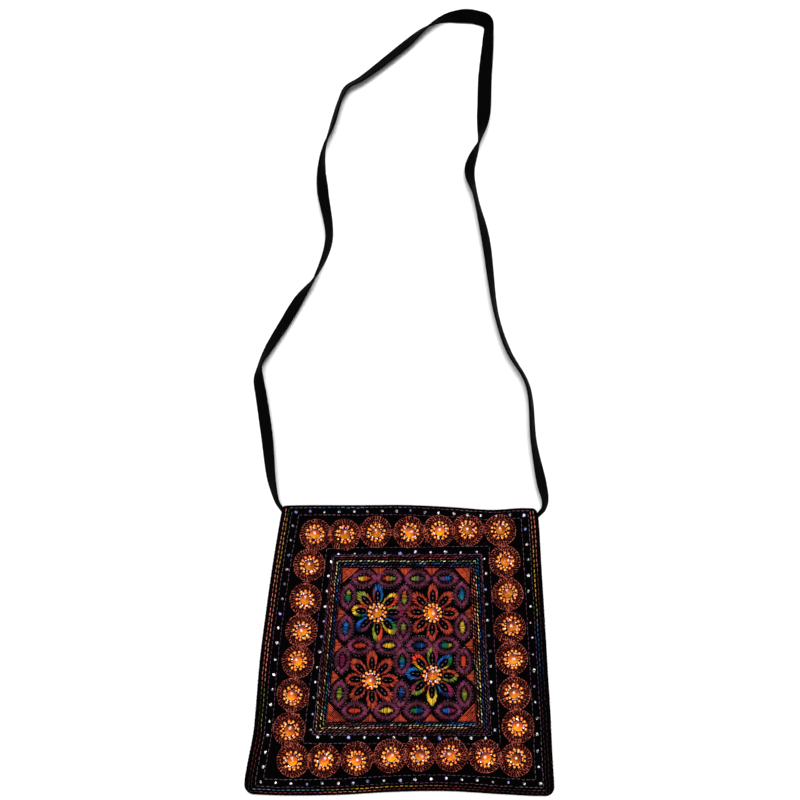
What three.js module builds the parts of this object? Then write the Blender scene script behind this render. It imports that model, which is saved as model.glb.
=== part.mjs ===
// Embroidered shoulder bag: a flat cloth pouch lying on its back, with a tape strap and sewn-on beads.
// Millimetres. +X is the bag's right, +Y runs from its foot to its mouth, +Z is up from the surface.
import * as THREE from 'three';

// Walls of the pouch
const FRONT_WALL = 2.0;
const BACK_WALL = 1.5;
const SEAM_GAP = 0.3;
const POUCH_GAP = 7.2;
const MOUTH_SHARE = 0.86;
const MOUTH_EASE = 45;
const SEAM_ROLL = 26;
const SEAM_ROLL_POWER = 2.2;

// Corner radii of the outline
const CORNER_RADIUS = { footLeft: 7, footRight: 6.5, mouthLeft: 2, mouthRight: 4 };

// Outline of the pouch: half widths at heights along the bag
const SIDE_SECTIONS = [
  { y: -118, left: -125.0, right: 125.0 },
  { y: -107, left: -125.0, right: 125.0 },
  { y: -90, left: -122.8, right: 124.0 },
  { y: -70, left: -119.9, right: 122.9 },
  { y: -50, left: -119.0, right: 122.0 },
  { y: -12, left: -117.6, right: 119.6 },
  { y: 26, left: -114.6, right: 117.3 },
  { y: 66, left: -110.8, right: 114.7 },
  { y: 106, left: -106.0, right: 112.3 },
  { y: 118, left: -104.2, right: 110.6 },
];

// Outline of the pouch: foot and mouth edges at shares of the width
const END_SECTIONS = [
  { across: 0.0, foot: -117.6, mouth: 114.6 },
  { across: 0.12, foot: -118.0, mouth: 115.4 },
  { across: 0.3, foot: -116.4, mouth: 116.4 },
  { across: 0.48, foot: -112.9, mouth: 117.5 },
  { across: 0.65, foot: -111.2, mouth: 116.9 },
  { across: 0.82, foot: -112.3, mouth: 115.4 },
  { across: 0.93, foot: -113.0, mouth: 117.4 },
  { across: 1.0, foot: -112.8, mouth: 118.0 },
];

// Broad slack hollows of the front wall
const DENTS = [
  { x: 74, y: 112, radius: 34, depth: 0.8 },
  { x: -40, y: 108, radius: 30, depth: 0.6 },
  { x: 20, y: -96, radius: 40, depth: 0.8 },
  { x: -98, y: -62, radius: 32, depth: 0.7 },
  { x: 0, y: 4, radius: 42, depth: 0.5 },
];

// Spacing of the front wall's mesh lines: close by the seams, wide in the middle
const SEAM_STATIONS = [0, 2.5, 5.5, 10, 16];
const FIELD_STEP = 12;

// Beads
const BEAD_DIAMETER = 8.5;
const BEAD_HEIGHT = 4.6;
const BEAD_GIRTH_HEIGHT = 1.4;
const BEAD_BASE_DIAMETER = 7.6;
const BEAD_TABLE_DIAMETER = 2.4;
const BEAD_SHOULDER_TURNS = [30, 60];
const BEAD_SIDES = 12;
const BEAD_SEAT = 0.3;

// Bead places in the border, one row of centres for each side of the bag
const MEDALLION_ROWS = {
  top: { x: [-76, -51, -24.5, 3.5, 28.5, 52, 79.5], y: [91.5, 92, 94, 95, 97, 98.5, 99] },
  left: { x: [-79.5, -82, -83.5, -86, -89, -90], y: [65.5, 37.5, 12, -12, -39.5, -66.5] },
  right: { x: [83.5, 86, 89, 90.5, 91.5, 94.5], y: [73, 47, 20.5, -6, -33, -58.5] },
  bottom: {
    x: [-86.5, -61.5, -35, -7.5, 16, 40.5, 69, 93.5],
    y: [-90, -89, -88.5, -85, -83, -82.5, -83.5, -83.5],
  },
};

// Bead places in the middle panel
const FLOWER_PLACES = { x: [-22, 24, -25, 24.5], y: [28.5, 29.5, -25.5, -20.5] };

// Strap: a tape lying on the surface, with the turn of its face out of the flat in degrees
const STRAP_THICKNESS = 1.5;
const STRAP_CHAMFER = 0.35;
const STRAP_LIFT = 0.05;
const STRAP_STEPS = 80;
const ROUTE_FINENESS = 20;
const STRAP_ROUTE = [
  { x: -106.1, y: 112.7, bank: 62, wide: 5 },
  { x: -109.8, y: 118, bank: 62, wide: 6.5 },
  { x: -115.3, y: 136.5, bank: 54, wide: 12 },
  { x: -121.3, y: 173.5, bank: 35, wide: 12 },
  { x: -128, y: 208.5, bank: 37, wide: 12 },
  { x: -131.2, y: 224.5, bank: 44, wide: 12 },
  { x: -130.5, y: 236, bank: 68, wide: 12 },
  { x: -124, y: 251, bank: 50, wide: 12 },
  { x: -111, y: 275, bank: 36, wide: 12 },
  { x: -99.5, y: 296.5, bank: 40, wide: 12 },
  { x: -84.5, y: 320.5, bank: 84, wide: 12 },
  { x: -75, y: 352.5, bank: 112, wide: 12 },
  { x: -82.3, y: 398, bank: 138, wide: 12 },
  { x: -84, y: 419, bank: 116, wide: 12 },
  { x: -82.5, y: 439, bank: 90, wide: 12 },
  { x: -76.4, y: 460.5, bank: 66, wide: 12 },
  { x: -69.5, y: 487.5, bank: 66, wide: 12 },
  { x: -63.7, y: 499.8, bank: 54, wide: 12 },
  { x: -51.3, y: 508.2, bank: 47, wide: 12 },
  { x: -13.5, y: 542, bank: 37, wide: 12 },
  { x: 6.5, y: 560.7, bank: 60, wide: 12 },
  { x: 22.3, y: 569.8, bank: 88, wide: 12 },
  { x: 36.5, y: 573, bank: 120, wide: 12 },
  { x: 53.5, y: 574.8, bank: 165, wide: 12 },
  { x: 64.5, y: 567.5, bank: 128, wide: 12 },
  { x: 65, y: 553, bank: 136, wide: 12 },
  { x: 62.7, y: 513, bank: 164, wide: 12 },
  { x: 62, y: 479, bank: 160, wide: 12 },
  { x: 58.6, y: 451, bank: 98, wide: 12 },
  { x: 49.6, y: 421.5, bank: 44, wide: 12 },
  { x: 55.5, y: 395.5, bank: 68, wide: 12 },
  { x: 64.5, y: 358, bank: 51, wide: 12 },
  { x: 74.7, y: 288, bank: 69, wide: 12 },
  { x: 85.7, y: 254.7, bank: 66, wide: 12 },
  { x: 102.6, y: 224.3, bank: 70, wide: 12 },
  { x: 108, y: 174.5, bank: 62, wide: 12 },
  { x: 114.9, y: 139.5, bank: 45, wide: 12 },
  { x: 117.8, y: 125, bank: 56, wide: 10 },
  { x: 116.5, y: 118, bank: 62, wide: 7 },
  { x: 112.7, y: 113.5, bank: 62, wide: 5 },
];

const cloth = new THREE.MeshStandardMaterial({ color: 0x17120f, roughness: 0.92, metalness: 0 });
const lining = new THREE.MeshStandardMaterial({ color: 0x100e0e, roughness: 0.95, metalness: 0 });
const tape = new THREE.MeshStandardMaterial({ color: 0x0b0a0b, roughness: 0.8, metalness: 0 });
const amber = new THREE.MeshStandardMaterial({ color: 0xd96a18, roughness: 0.12, metalness: 0 });

// Smooth curve through one column of a table
function column(rows, key, value) {
  const positions = rows.map((row) => row[key]);
  const samples = rows.map((row) => row[value]);
  const curve = new THREE.CubicInterpolant(positions, samples, 1);
  return (at) => curve.evaluate(THREE.MathUtils.clamp(at, positions[0], positions.at(-1)))[0];
}

const leftEdge = column(SIDE_SECTIONS, 'y', 'left');
const rightEdge = column(SIDE_SECTIONS, 'y', 'right');
const footEdge = column(END_SECTIONS, 'across', 'foot');
const mouthEdge = column(END_SECTIONS, 'across', 'mouth');

const MEAN_WIDTH = rightEdge(0) - leftEdge(0);
const MEAN_HEIGHT = mouthEdge(0.5) - footEdge(0.5);

// Pull a point in from a square corner onto a round one; both distances are from the corner's edges
function roundCorner(side, end, radius) {
  if (side >= radius || end >= radius) return [side, end];
  const p = 1 - side / radius;
  const q = 1 - end / radius;
  return [radius * (1 - p * Math.sqrt(1 - (q * q) / 2)), radius * (1 - q * Math.sqrt(1 - (p * p) / 2))];
}

// Place on the bag's outline grid: across and along run from 0 to 1, left to right and foot to mouth
function place(across, along) {
  const isLeft = across < 0.5;
  const isFoot = along < 0.5;
  const radius = CORNER_RADIUS[(isFoot ? 'foot' : 'mouth') + (isLeft ? 'Left' : 'Right')];
  const side = (isLeft ? across : 1 - across) * MEAN_WIDTH;
  const end = (isFoot ? along : 1 - along) * MEAN_HEIGHT;
  const [roundSide, roundEnd] = roundCorner(side, end, radius);
  const u = isLeft ? roundSide / MEAN_WIDTH : 1 - roundSide / MEAN_WIDTH;
  const v = isFoot ? roundEnd / MEAN_HEIGHT : 1 - roundEnd / MEAN_HEIGHT;
  const y = THREE.MathUtils.lerp(footEdge(u), mouthEdge(u), v);
  const x = THREE.MathUtils.lerp(leftEdge(y), rightEdge(y), u);
  return { x, y, u, v };
}

// Share of the full height that the front wall has reached at a distance from a seam
function rise(distance) {
  const t = THREE.MathUtils.clamp(distance / SEAM_ROLL, 0, 1);
  return 1 - Math.pow(1 - t, SEAM_ROLL_POWER);
}

// Height of the front wall's outer face above the surface
function frontHeight({ x, y, u, v }) {
  const side = Math.min(u, 1 - u) * MEAN_WIDTH;
  const foot = v * MEAN_HEIGHT;
  const mouth = (1 - v) * MEAN_HEIGHT;
  const lift = rise(side) * rise(foot);
  const eased = THREE.MathUtils.smoothstep(mouth, 0, MOUTH_EASE);
  const open = THREE.MathUtils.lerp(MOUTH_SHARE, 1, eased);
  let gap = SEAM_GAP + (POUCH_GAP - SEAM_GAP) * lift * open;
  for (const dent of DENTS) {
    const reach = ((x - dent.x) ** 2 + (y - dent.y) ** 2) / dent.radius ** 2;
    gap -= dent.depth * lift * Math.exp(-reach);
  }
  return BACK_WALL + gap + FRONT_WALL;
}

// Height of the front wall over a point given in millimetres
function frontHeightAt(x, y) {
  const u = (x - leftEdge(y)) / (rightEdge(y) - leftEdge(y));
  const v = (y - footEdge(u)) / (mouthEdge(u) - footEdge(u));
  return frontHeight({ x, y, u, v });
}

// Shares along a length with close lines by both ends
function stations(length) {
  const near = SEAM_STATIONS.map((d) => d / length);
  const far = near.map((share) => 1 - share).reverse();
  const first = near.at(-1);
  const span = far[0] - first;
  const count = Math.round((span * length) / FIELD_STEP);
  const middle = Array.from({ length: count - 1 }, (_, i) => first + (span * (i + 1)) / count);
  return [...near, ...middle, ...far];
}

// Closed mesh from points and triangles
function closedGeometry(points, triangles) {
  const geometry = new THREE.BufferGeometry();
  geometry.setAttribute('position', new THREE.Float32BufferAttribute(points.flat(), 3));
  geometry.setIndex(triangles.flat());
  geometry.computeVertexNormals();
  return geometry;
}

// The embroidered front wall: an outer and an inner sheet joined round the rim
function frontPanel() {
  const acrosses = stations(MEAN_WIDTH);
  const alongs = stations(MEAN_HEIGHT);
  const columns = acrosses.length;
  const rows = alongs.length;
  const outer = [];
  const inner = [];
  for (const along of alongs) {
    for (const across of acrosses) {
      const spot = place(across, along);
      const top = frontHeight(spot);
      outer.push([spot.x, spot.y, top]);
      inner.push([spot.x, spot.y, top - FRONT_WALL]);
    }
  }
  const sheet = rows * columns;
  const triangles = [];
  for (let r = 0; r < rows - 1; r += 1) {
    for (let c = 0; c < columns - 1; c += 1) {
      const a = r * columns + c;
      const b = a + 1;
      const d = a + columns;
      const e = d + 1;
      triangles.push([a, b, e], [a, e, d]);
      triangles.push([sheet + a, sheet + e, sheet + b], [sheet + a, sheet + d, sheet + e]);
    }
  }
  const rim = rimIndices(rows, columns);
  rim.forEach((a, i) => {
    const b = rim[(i + 1) % rim.length];
    triangles.push([a, sheet + a, sheet + b], [a, sheet + b, b]);
  });
  return closedGeometry([...outer, ...inner], triangles);
}

// Grid indices round the rim, anticlockwise seen from the front
function rimIndices(rows, columns) {
  const rim = [];
  for (let c = 0; c < columns - 1; c += 1) rim.push(c);
  for (let r = 0; r < rows - 1; r += 1) rim.push(r * columns + columns - 1);
  for (let c = columns - 1; c > 0; c -= 1) rim.push((rows - 1) * columns + c);
  for (let r = rows - 1; r > 0; r -= 1) rim.push(r * columns);
  return rim;
}

// The plain back wall: the same outline as a flat sheet
function backPanel() {
  const acrosses = stations(MEAN_WIDTH);
  const alongs = stations(MEAN_HEIGHT);
  const columns = acrosses.length;
  const points = rimIndices(alongs.length, columns).map((index) => {
    const spot = place(acrosses[index % columns], alongs[Math.floor(index / columns)]);
    return new THREE.Vector2(spot.x, spot.y);
  });
  return new THREE.ExtrudeGeometry(new THREE.Shape(points), { depth: BACK_WALL, bevelEnabled: false });
}

// Eight-sided section of the tape: its broad faces with chamfered edges
function tapeSection(wide) {
  const w = wide / 2;
  const t = STRAP_THICKNESS / 2;
  const c = STRAP_CHAMFER;
  return [[w, t - c], [w - c, t], [c - w, t], [-w, t - c], [-w, c - t], [c - w, -t], [w - c, -t], [w, c - t]];
}

// The strap: the tape's section carried along its route, turned about it and resting on its lower edge
function strap() {
  const knots = STRAP_ROUTE.map((row, i) => ({ ...row, i }));
  const bankAt = column(knots, 'i', 'bank');
  const wideAt = column(knots, 'i', 'wide');
  const curve = new THREE.CatmullRomCurve3(STRAP_ROUTE.map((row) => new THREE.Vector3(row.x, row.y, 0)));
  curve.arcLengthDivisions = ROUTE_FINENESS * STRAP_ROUTE.length;
  const up = new THREE.Vector3(0, 0, 1);
  const points = [];
  for (let step = 0; step <= STRAP_STEPS; step += 1) {
    const t = curve.getUtoTmapping(step / STRAP_STEPS);
    const knot = t * (STRAP_ROUTE.length - 1);
    const bank = THREE.MathUtils.degToRad(bankAt(knot));
    const wide = wideAt(knot);
    const middle = curve.getPoint(t);
    const rest = (Math.abs(Math.sin(bank)) * wide + Math.abs(Math.cos(bank)) * STRAP_THICKNESS) / 2;
    middle.z = rest + STRAP_LIFT;
    const side = new THREE.Vector3().crossVectors(curve.getTangent(t), up).normalize();
    const across = side.clone().multiplyScalar(Math.cos(bank)).addScaledVector(up, Math.sin(bank));
    const face = up.clone().multiplyScalar(Math.cos(bank)).addScaledVector(side, -Math.sin(bank));
    for (const [a, b] of tapeSection(wide)) {
      points.push(middle.clone().addScaledVector(across, a).addScaledVector(face, b).toArray());
    }
  }
  const sides = tapeSection(1).length;
  const triangles = [];
  for (let step = 0; step < STRAP_STEPS; step += 1) {
    for (let k = 0; k < sides; k += 1) {
      const a = step * sides + k;
      const b = step * sides + ((k + 1) % sides);
      triangles.push([a, b + sides, b], [a, a + sides, b + sides]);
    }
  }
  const last = STRAP_STEPS * sides;
  for (let k = 1; k < sides - 1; k += 1) {
    triangles.push([0, k, k + 1], [last, last + k + 1, last + k]);
  }
  return closedGeometry(points, triangles);
}

// A domed bead with a flat base, turned about its own axis
function beadGeometry() {
  const girth = BEAD_DIAMETER / 2;
  const dome = BEAD_HEIGHT - BEAD_GIRTH_HEIGHT;
  const profile = [new THREE.Vector2(0, 0), new THREE.Vector2(BEAD_BASE_DIAMETER / 2, 0)];
  profile.push(new THREE.Vector2(girth, BEAD_GIRTH_HEIGHT));
  for (const turn of BEAD_SHOULDER_TURNS) {
    const angle = THREE.MathUtils.degToRad(turn);
    profile.push(new THREE.Vector2(girth * Math.cos(angle), BEAD_GIRTH_HEIGHT + dome * Math.sin(angle)));
  }
  profile.push(new THREE.Vector2(BEAD_TABLE_DIAMETER / 2, BEAD_HEIGHT), new THREE.Vector2(0, BEAD_HEIGHT));
  return new THREE.LatheGeometry(profile, BEAD_SIDES).rotateX(Math.PI / 2);
}

// One bead on the front wall, its base just clear of the highest cloth under it
function bead(name, x, y) {
  const reach = BEAD_DIAMETER / 2;
  const under = [[0, 0], [reach, 0], [-reach, 0], [0, reach], [0, -reach]];
  const highest = Math.max(...under.map(([dx, dy]) => frontHeightAt(x + dx, y + dy)));
  const mesh = new THREE.Mesh(beadGeometry(), amber);
  mesh.name = name;
  mesh.position.set(x, y, highest + BEAD_SEAT);
  return mesh;
}

function named(name, geometry, material) {
  const mesh = new THREE.Mesh(geometry, material);
  mesh.name = name;
  return mesh;
}

const bag = new THREE.Group();
bag.add(named('front_panel', frontPanel(), cloth));
bag.add(named('back_panel', backPanel(), lining));
bag.add(named('strap', strap(), tape));

const beads = new THREE.Group();
for (const [side, places] of Object.entries(MEDALLION_ROWS)) {
  places.x.forEach((x, i) => beads.add(bead(`medallion_bead_${side}_${i + 1}`, x, places.y[i])));
}
FLOWER_PLACES.x.forEach((x, i) => beads.add(bead(`flower_bead_${i + 1}`, x, FLOWER_PLACES.y[i])));
bag.add(beads);

export default bag;
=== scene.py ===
import logging
import math
from dataclasses import dataclass, field
from enum import Enum
from typing import Optional, Sequence, Union

import bpy
import numpy as np
from mathutils import Matrix, Vector


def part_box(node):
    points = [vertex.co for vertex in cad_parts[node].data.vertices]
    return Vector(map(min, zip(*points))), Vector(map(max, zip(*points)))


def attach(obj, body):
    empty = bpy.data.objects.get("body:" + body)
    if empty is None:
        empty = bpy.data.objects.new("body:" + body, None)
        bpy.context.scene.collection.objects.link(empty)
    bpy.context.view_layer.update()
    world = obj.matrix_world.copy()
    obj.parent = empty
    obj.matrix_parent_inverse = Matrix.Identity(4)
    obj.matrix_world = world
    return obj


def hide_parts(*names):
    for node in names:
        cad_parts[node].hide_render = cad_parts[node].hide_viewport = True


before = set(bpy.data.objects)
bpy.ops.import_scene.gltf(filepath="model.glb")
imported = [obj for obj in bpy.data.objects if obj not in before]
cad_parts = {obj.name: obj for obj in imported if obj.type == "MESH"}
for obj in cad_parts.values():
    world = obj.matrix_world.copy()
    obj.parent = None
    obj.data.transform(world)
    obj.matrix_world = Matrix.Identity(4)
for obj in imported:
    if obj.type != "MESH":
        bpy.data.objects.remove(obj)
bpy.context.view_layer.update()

MM = 0.001
BODY = "root"
DYE_CONTRAST = 2.2

Colour = tuple[float, float, float]
Points = np.ndarray
Material = bpy.types.Material
log = logging.getLogger("shoulder_bag")


class Side(Enum):
    """The four sides of the pouch."""

    LEFT = "left"
    RIGHT = "right"
    FOOT = "foot"
    MOUTH = "mouth"


class Thread(Enum):
    """Embroidery threads, as the eye sees them, in parts of 255."""

    RUST = (182, 66, 38)
    RUST_DEEP = (118, 36, 20)
    BRICK = (170, 58, 38)
    SALMON = (246, 140, 118)
    CORD = (116, 41, 34)
    CORD_LIGHT = (202, 98, 76)
    CORD_DEEP = (74, 22, 26)
    BARK = (58, 34, 30)
    PLUM = (118, 46, 74)
    # A darker copy of the plum, used as painted shade along the eyes' long sides.
    PLUM_PAINTED_SHADE = (86, 32, 50)
    MAUVE = (104, 62, 94)
    GREY_MAUVE = (116, 92, 106)
    PINK_GREY = (168, 130, 142)
    RED_ORANGE = (206, 58, 28)
    ORANGE = (214, 104, 36)
    YELLOW = (226, 180, 44)
    CREAM = (218, 192, 138)
    OLIVE = (130, 142, 46)
    GREEN = (30, 106, 38)
    TEAL = (30, 118, 134)
    PALE_BLUE = (110, 150, 180)
    BLUE = (14, 96, 178)
    NAVY = (16, 26, 80)
    MAGENTA = (130, 26, 68)

    @property
    def linear(self) -> np.ndarray:
        """The colour in linear light."""
        share = np.array(self.value) / 255
        return np.where(share <= 0.04045, share / 12.92, ((share + 0.055) / 1.055) ** 2.4)


Threads = Sequence[Thread]


def blended(threads: Threads, shares: np.ndarray) -> np.ndarray:
    """Colours along a thread that is dyed in stretches.

    Args:
        threads: The colours in order, spread evenly along the thread.
        shares: Places along the thread, from 0 to 1.

    Returns:
        One linear colour for each place.
    """
    palette = np.array([thread.linear for thread in threads])
    if len(palette) == 1:
        return np.repeat(palette, len(shares), axis=0)
    place = np.clip(shares, 0, 1) * (len(palette) - 1)
    index = np.minimum(place.astype(int), len(palette) - 2)
    step = np.clip((place - index - 0.5) * DYE_CONTRAST + 0.5, 0, 1)[:, None]
    return palette[index] * (1 - step) + palette[index + 1] * step


def smooth_curve(knots: np.ndarray, values: np.ndarray, at: np.ndarray) -> np.ndarray:
    """Cubic curve through values, with each slope taken from the neighbours on both sides.

    Args:
        knots: Rising places of the values.
        values: The values to pass through.
        at: Places to work out, held between the first and the last knot.

    Returns:
        The curve's value at each place.
    """
    slopes = np.empty(len(knots))
    slopes[1:-1] = (values[2:] - values[:-2]) / (knots[2:] - knots[:-2])
    slopes[0] = (values[1] - values[0]) / (knots[1] - knots[0])
    slopes[-1] = (values[-1] - values[-2]) / (knots[-1] - knots[-2])
    place = np.clip(np.asarray(at, float), knots[0], knots[-1])
    index = np.clip(np.searchsorted(knots, place, side="right") - 1, 0, len(knots) - 2)
    span = knots[index + 1] - knots[index]
    t = (place - knots[index]) / span
    start = (2 * t**3 - 3 * t**2 + 1) * values[index] + (t**3 - 2 * t**2 + t) * span * slopes[index]
    end = (3 * t**2 - 2 * t**3) * values[index + 1] + (t**3 - t**2) * span * slopes[index + 1]
    return start + end


def lengths_along(line: Points) -> np.ndarray:
    """Length from a line's start to each of its points."""
    return np.concatenate([[0.0], np.cumsum(np.linalg.norm(np.diff(line, axis=0), axis=1))])


def points_at(line: Points, marks: np.ndarray, at: np.ndarray) -> Points:
    """Places on a line, which has a mark for each of its points, at values between the marks."""
    return np.stack([np.interp(at, marks, column) for column in line.T], axis=1)


def walk(line: Points, spacing: float, phase: float = 0.5) -> tuple[Points, Points, np.ndarray]:
    """Even places along a line.

    Args:
        line: Points of the line.
        spacing: Wanted distance between places, fitted to a whole number.
        phase: Share of one spacing before the first place.

    Returns:
        The places, the line's unit direction at each, and the shares of the length.
    """
    lengths = lengths_along(line)
    count = max(1, round(lengths[-1] / spacing))
    shares = (np.arange(count) + phase) / count
    at = shares * lengths[-1]
    near = spacing / 4
    headings = points_at(line, lengths, at + near) - points_at(line, lengths, at - near)
    headings /= np.maximum(np.linalg.norm(headings, axis=1, keepdims=True), 1e-12)
    return points_at(line, lengths, at), headings, shares


def turned_left(headings: Points) -> Points:
    """Flat directions a quarter turn to the left of the given ones."""
    return np.stack([-headings[:, 1], headings[:, 0]], axis=1)


def even_turns(count: int) -> np.ndarray:
    """Angles of places spaced evenly round a circle."""
    return np.arange(count) * 2 * math.pi / count


def polar(radius: Union[float, np.ndarray], turns: np.ndarray) -> Points:
    """Flat offsets at radii and angles."""
    return np.stack([radius * np.cos(turns), radius * np.sin(turns)], axis=1)


class Value:
    """A shader value: Python's operators on it add Math nodes."""

    def __init__(self, shader: "Shader", socket: Optional[bpy.types.NodeSocket]) -> None:
        """Hold one output socket of a shader's tree."""
        self.shader = shader
        self.socket = socket

    def _math(self, operation: str, first: "Operand", second: "Operand" = 0.0) -> "Value":
        """Add one Math node on two operands."""
        return self.shader.node("ShaderNodeMath", {"operation": operation}, {0: first, 1: second})

    def __add__(self, other: "Operand") -> "Value":
        """Sum with another value."""
        return self._math("ADD", self, other)

    def __radd__(self, other: "Operand") -> "Value":
        """Sum with a number on the left."""
        return self._math("ADD", other, self)

    def __sub__(self, other: "Operand") -> "Value":
        """Difference from another value."""
        return self._math("SUBTRACT", self, other)

    def __rsub__(self, other: "Operand") -> "Value":
        """Difference from a number on the left."""
        return self._math("SUBTRACT", other, self)

    def __mul__(self, other: "Operand") -> "Value":
        """Product with another value."""
        return self._math("MULTIPLY", self, other)

    def __rmul__(self, other: "Operand") -> "Value":
        """Product with a number on the left."""
        return self._math("MULTIPLY", other, self)

    def sine(self) -> "Value":
        """Sine of the value, in radians."""
        return self._math("SINE", self)

    def power(self, exponent: float) -> "Value":
        """The value's size raised to a power."""
        return self._math("POWER", self._math("ABSOLUTE", self), exponent)


Operand = Union[Value, float]


class Shader:
    """The node tree of a material or a sky, written as expressions."""

    def __init__(self, owner: Union[Material, bpy.types.World]) -> None:
        """Start with an empty tree.

        Args:
            owner: The material or sky that the tree belongs to.
        """
        owner.use_nodes = True
        self.owner = owner
        self.tree = owner.node_tree
        self.tree.nodes.clear()

    def node(self, kind: str, settings: Optional[dict] = None, sockets: Optional[dict] = None,
             output: Union[int, str] = 0) -> Value:
        """Add a node.

        Args:
            kind: The node's type.
            settings: The node's own settings, set first.
            sockets: Values or links for its inputs, by name or number.
            output: Which output to hand on.

        Returns:
            That output as a value.
        """
        added = self.tree.nodes.new(kind)
        for name, setting in (settings or {}).items():
            setattr(added, name, setting)
        for name, given in (sockets or {}).items():
            if isinstance(given, Value):
                self.tree.links.new(given.socket, added.inputs[name])
            else:
                added.inputs[name].default_value = given
        return Value(self, added.outputs[output] if added.outputs else None)

    def object_place(self) -> Value:
        """Place on the object, in metres."""
        return self.node("ShaderNodeTexCoord", output="Object")

    def axes(self, vector: Value) -> tuple[Value, Value, Value]:
        """Split a vector into its three values."""
        split = self.node("ShaderNodeSeparateXYZ", sockets={0: vector}).socket.node
        return tuple(Value(self, socket) for socket in split.outputs)

    def attribute(self, name: str, output: str) -> Value:
        """Read a mesh attribute."""
        return self.node("ShaderNodeAttribute", {"attribute_name": name}, output=output)

    def noise(self, place: Value, scale: float, detail: float, rough: float = 0.5) -> Value:
        """Cloudy noise from 0 to 1 at a scale in turns a metre."""
        return self.node("ShaderNodeTexNoise", {},
                         {"Vector": place, "Scale": scale, "Detail": detail, "Roughness": rough})

    def mix(self, factor: Operand, first: Union[Value, tuple], second: Union[Value, tuple],
            blend: str = "MIX") -> Value:
        """Mix two colours by a factor."""
        colours = {0: factor, 6: first, 7: second}
        return self.node("ShaderNodeMix", {"data_type": "RGBA", "blend_type": blend}, colours, 2)

    def bump(self, height: Value, depth: float, strength: float, under: Optional[Value] = None) -> Value:
        """Surface relief from a height between 0 and 1, over another relief where one is given."""
        relief = {"Height": height, "Distance": depth, "Strength": strength}
        return self.node("ShaderNodeBump", {}, {**relief, "Normal": under} if under else relief)

    def surface(self, sockets: dict) -> Material:
        """Close the tree with a principled surface.

        Args:
            sockets: Values or links for the surface's inputs.

        Returns:
            The finished material.
        """
        face = self.node("ShaderNodeBsdfPrincipled", {}, sockets)
        self.node("ShaderNodeOutputMaterial", {}, {"Surface": face})
        return self.owner


def grey(level: float) -> tuple[float, float, float, float]:
    """A grey as a colour socket takes it."""
    return (level, level, level, 1.0)


@dataclass(frozen=True)
class WovenCloth:
    """Black plain-woven cotton: fine warp and weft, a little slub and soft worn patches."""

    name: str
    dark: Colour
    worn: Colour
    yarn: float = 0.52 * MM
    relief: float = 0.16 * MM
    crease_relief: float = 0.5 * MM
    slub_scale: float = 900.0
    patch_scale: float = 26.0
    crease_scale: float = 60.0
    roughness: float = 0.8
    gloss: float = 0.01

    def material(self) -> Material:
        """Make the cloth's finish.

        Returns:
            The material.
        """
        shader = Shader(bpy.data.materials.new(self.name))
        place = shader.object_place()
        x, y, _ = shader.axes(place)
        turn = math.pi / self.yarn
        slub = shader.noise(place, self.slub_scale, 3.0)
        weave = (x * turn).sine() * (y * turn).sine() * 0.5 + 0.5
        patches = shader.noise(place, self.patch_scale, 4.0, 0.6)
        creases = shader.noise(place, self.crease_scale, 3.0, 0.55)
        wear = weave * 0.35 + slub * 0.3 + patches * 0.5
        colour = shader.mix(wear, (*self.dark, 1.0), (*self.worn, 1.0))
        folds = shader.bump(creases, self.crease_relief, 0.5)
        relief = shader.bump(weave * 0.75 + slub * 0.25, self.relief, 0.8, folds)
        return shader.surface({"Base Color": colour, "Roughness": slub * 0.14 + self.roughness,
                               "Normal": relief, "Specular IOR Level": self.gloss})


@dataclass(frozen=True)
class RibbedTape:
    """Black woven tape: ribs along its length, close picks across it and a faint sheen."""

    name: str = "black_tape"
    dark: Colour = (0.0006, 0.0006, 0.0007)
    worn: Colour = (0.002, 0.0019, 0.0022)
    ribs: float = 9.0
    pick: float = 0.8 * MM
    relief: float = 0.22 * MM
    slub_scale: float = 420.0
    roughness: float = 0.58
    gloss: float = 0.01

    def material(self) -> Material:
        """Make the tape's finish.

        Returns:
            The material.
        """
        shader = Shader(bpy.data.materials.new(self.name))
        across = shader.attribute("across", "Fac")
        along = shader.attribute("along", "Fac")
        rib = (across * (self.ribs * math.pi)).sine() * 0.5 + 0.5
        pick = (along * (2 * math.pi / self.pick)).sine() * 0.5 + 0.5
        slub = shader.noise(shader.object_place(), self.slub_scale, 3.0)
        height = rib * 0.6 + pick * 0.15 + slub * 0.25
        colour = shader.mix(height, (*self.dark, 1.0), (*self.worn, 1.0))
        return shader.surface({"Base Color": colour, "Roughness": slub * 0.2 + self.roughness,
                               "Normal": shader.bump(height, self.relief, 0.8),
                               "Specular IOR Level": self.gloss})


@dataclass(frozen=True)
class SpunThread:
    """Shiny embroidery thread in the colour that each stitch carries, with fine fibres."""

    name: str
    roughness: float = 0.5
    gloss: float = 0.1
    fibre: float = 0.12 * MM
    fibre_scale: float = 2600.0
    fading_scale: float = 160.0
    darkest: float = 0.62
    lightest: float = 1.28

    def material(self) -> Material:
        """Make the thread's finish.

        Returns:
            The material.
        """
        shader = Shader(bpy.data.materials.new(self.name))
        place = shader.object_place()
        dye = shader.attribute("dye", "Color")
        fibres = shader.noise(place, self.fibre_scale, 2.0, 0.6)
        fading = shader.noise(place, self.fading_scale, 3.0)
        dark = shader.mix(1.0, dye, grey(self.darkest), "MULTIPLY")
        light = shader.mix(1.0, dye, grey(self.lightest), "MULTIPLY")
        colour = shader.mix(fibres * 0.5 + fading * 0.5, dark, light)
        return shader.surface({"Base Color": colour, "Roughness": fibres * 0.2 + (self.roughness - 0.1),
                               "Normal": shader.bump(fibres, self.fibre, 0.5),
                               "Specular IOR Level": self.gloss})


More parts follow.
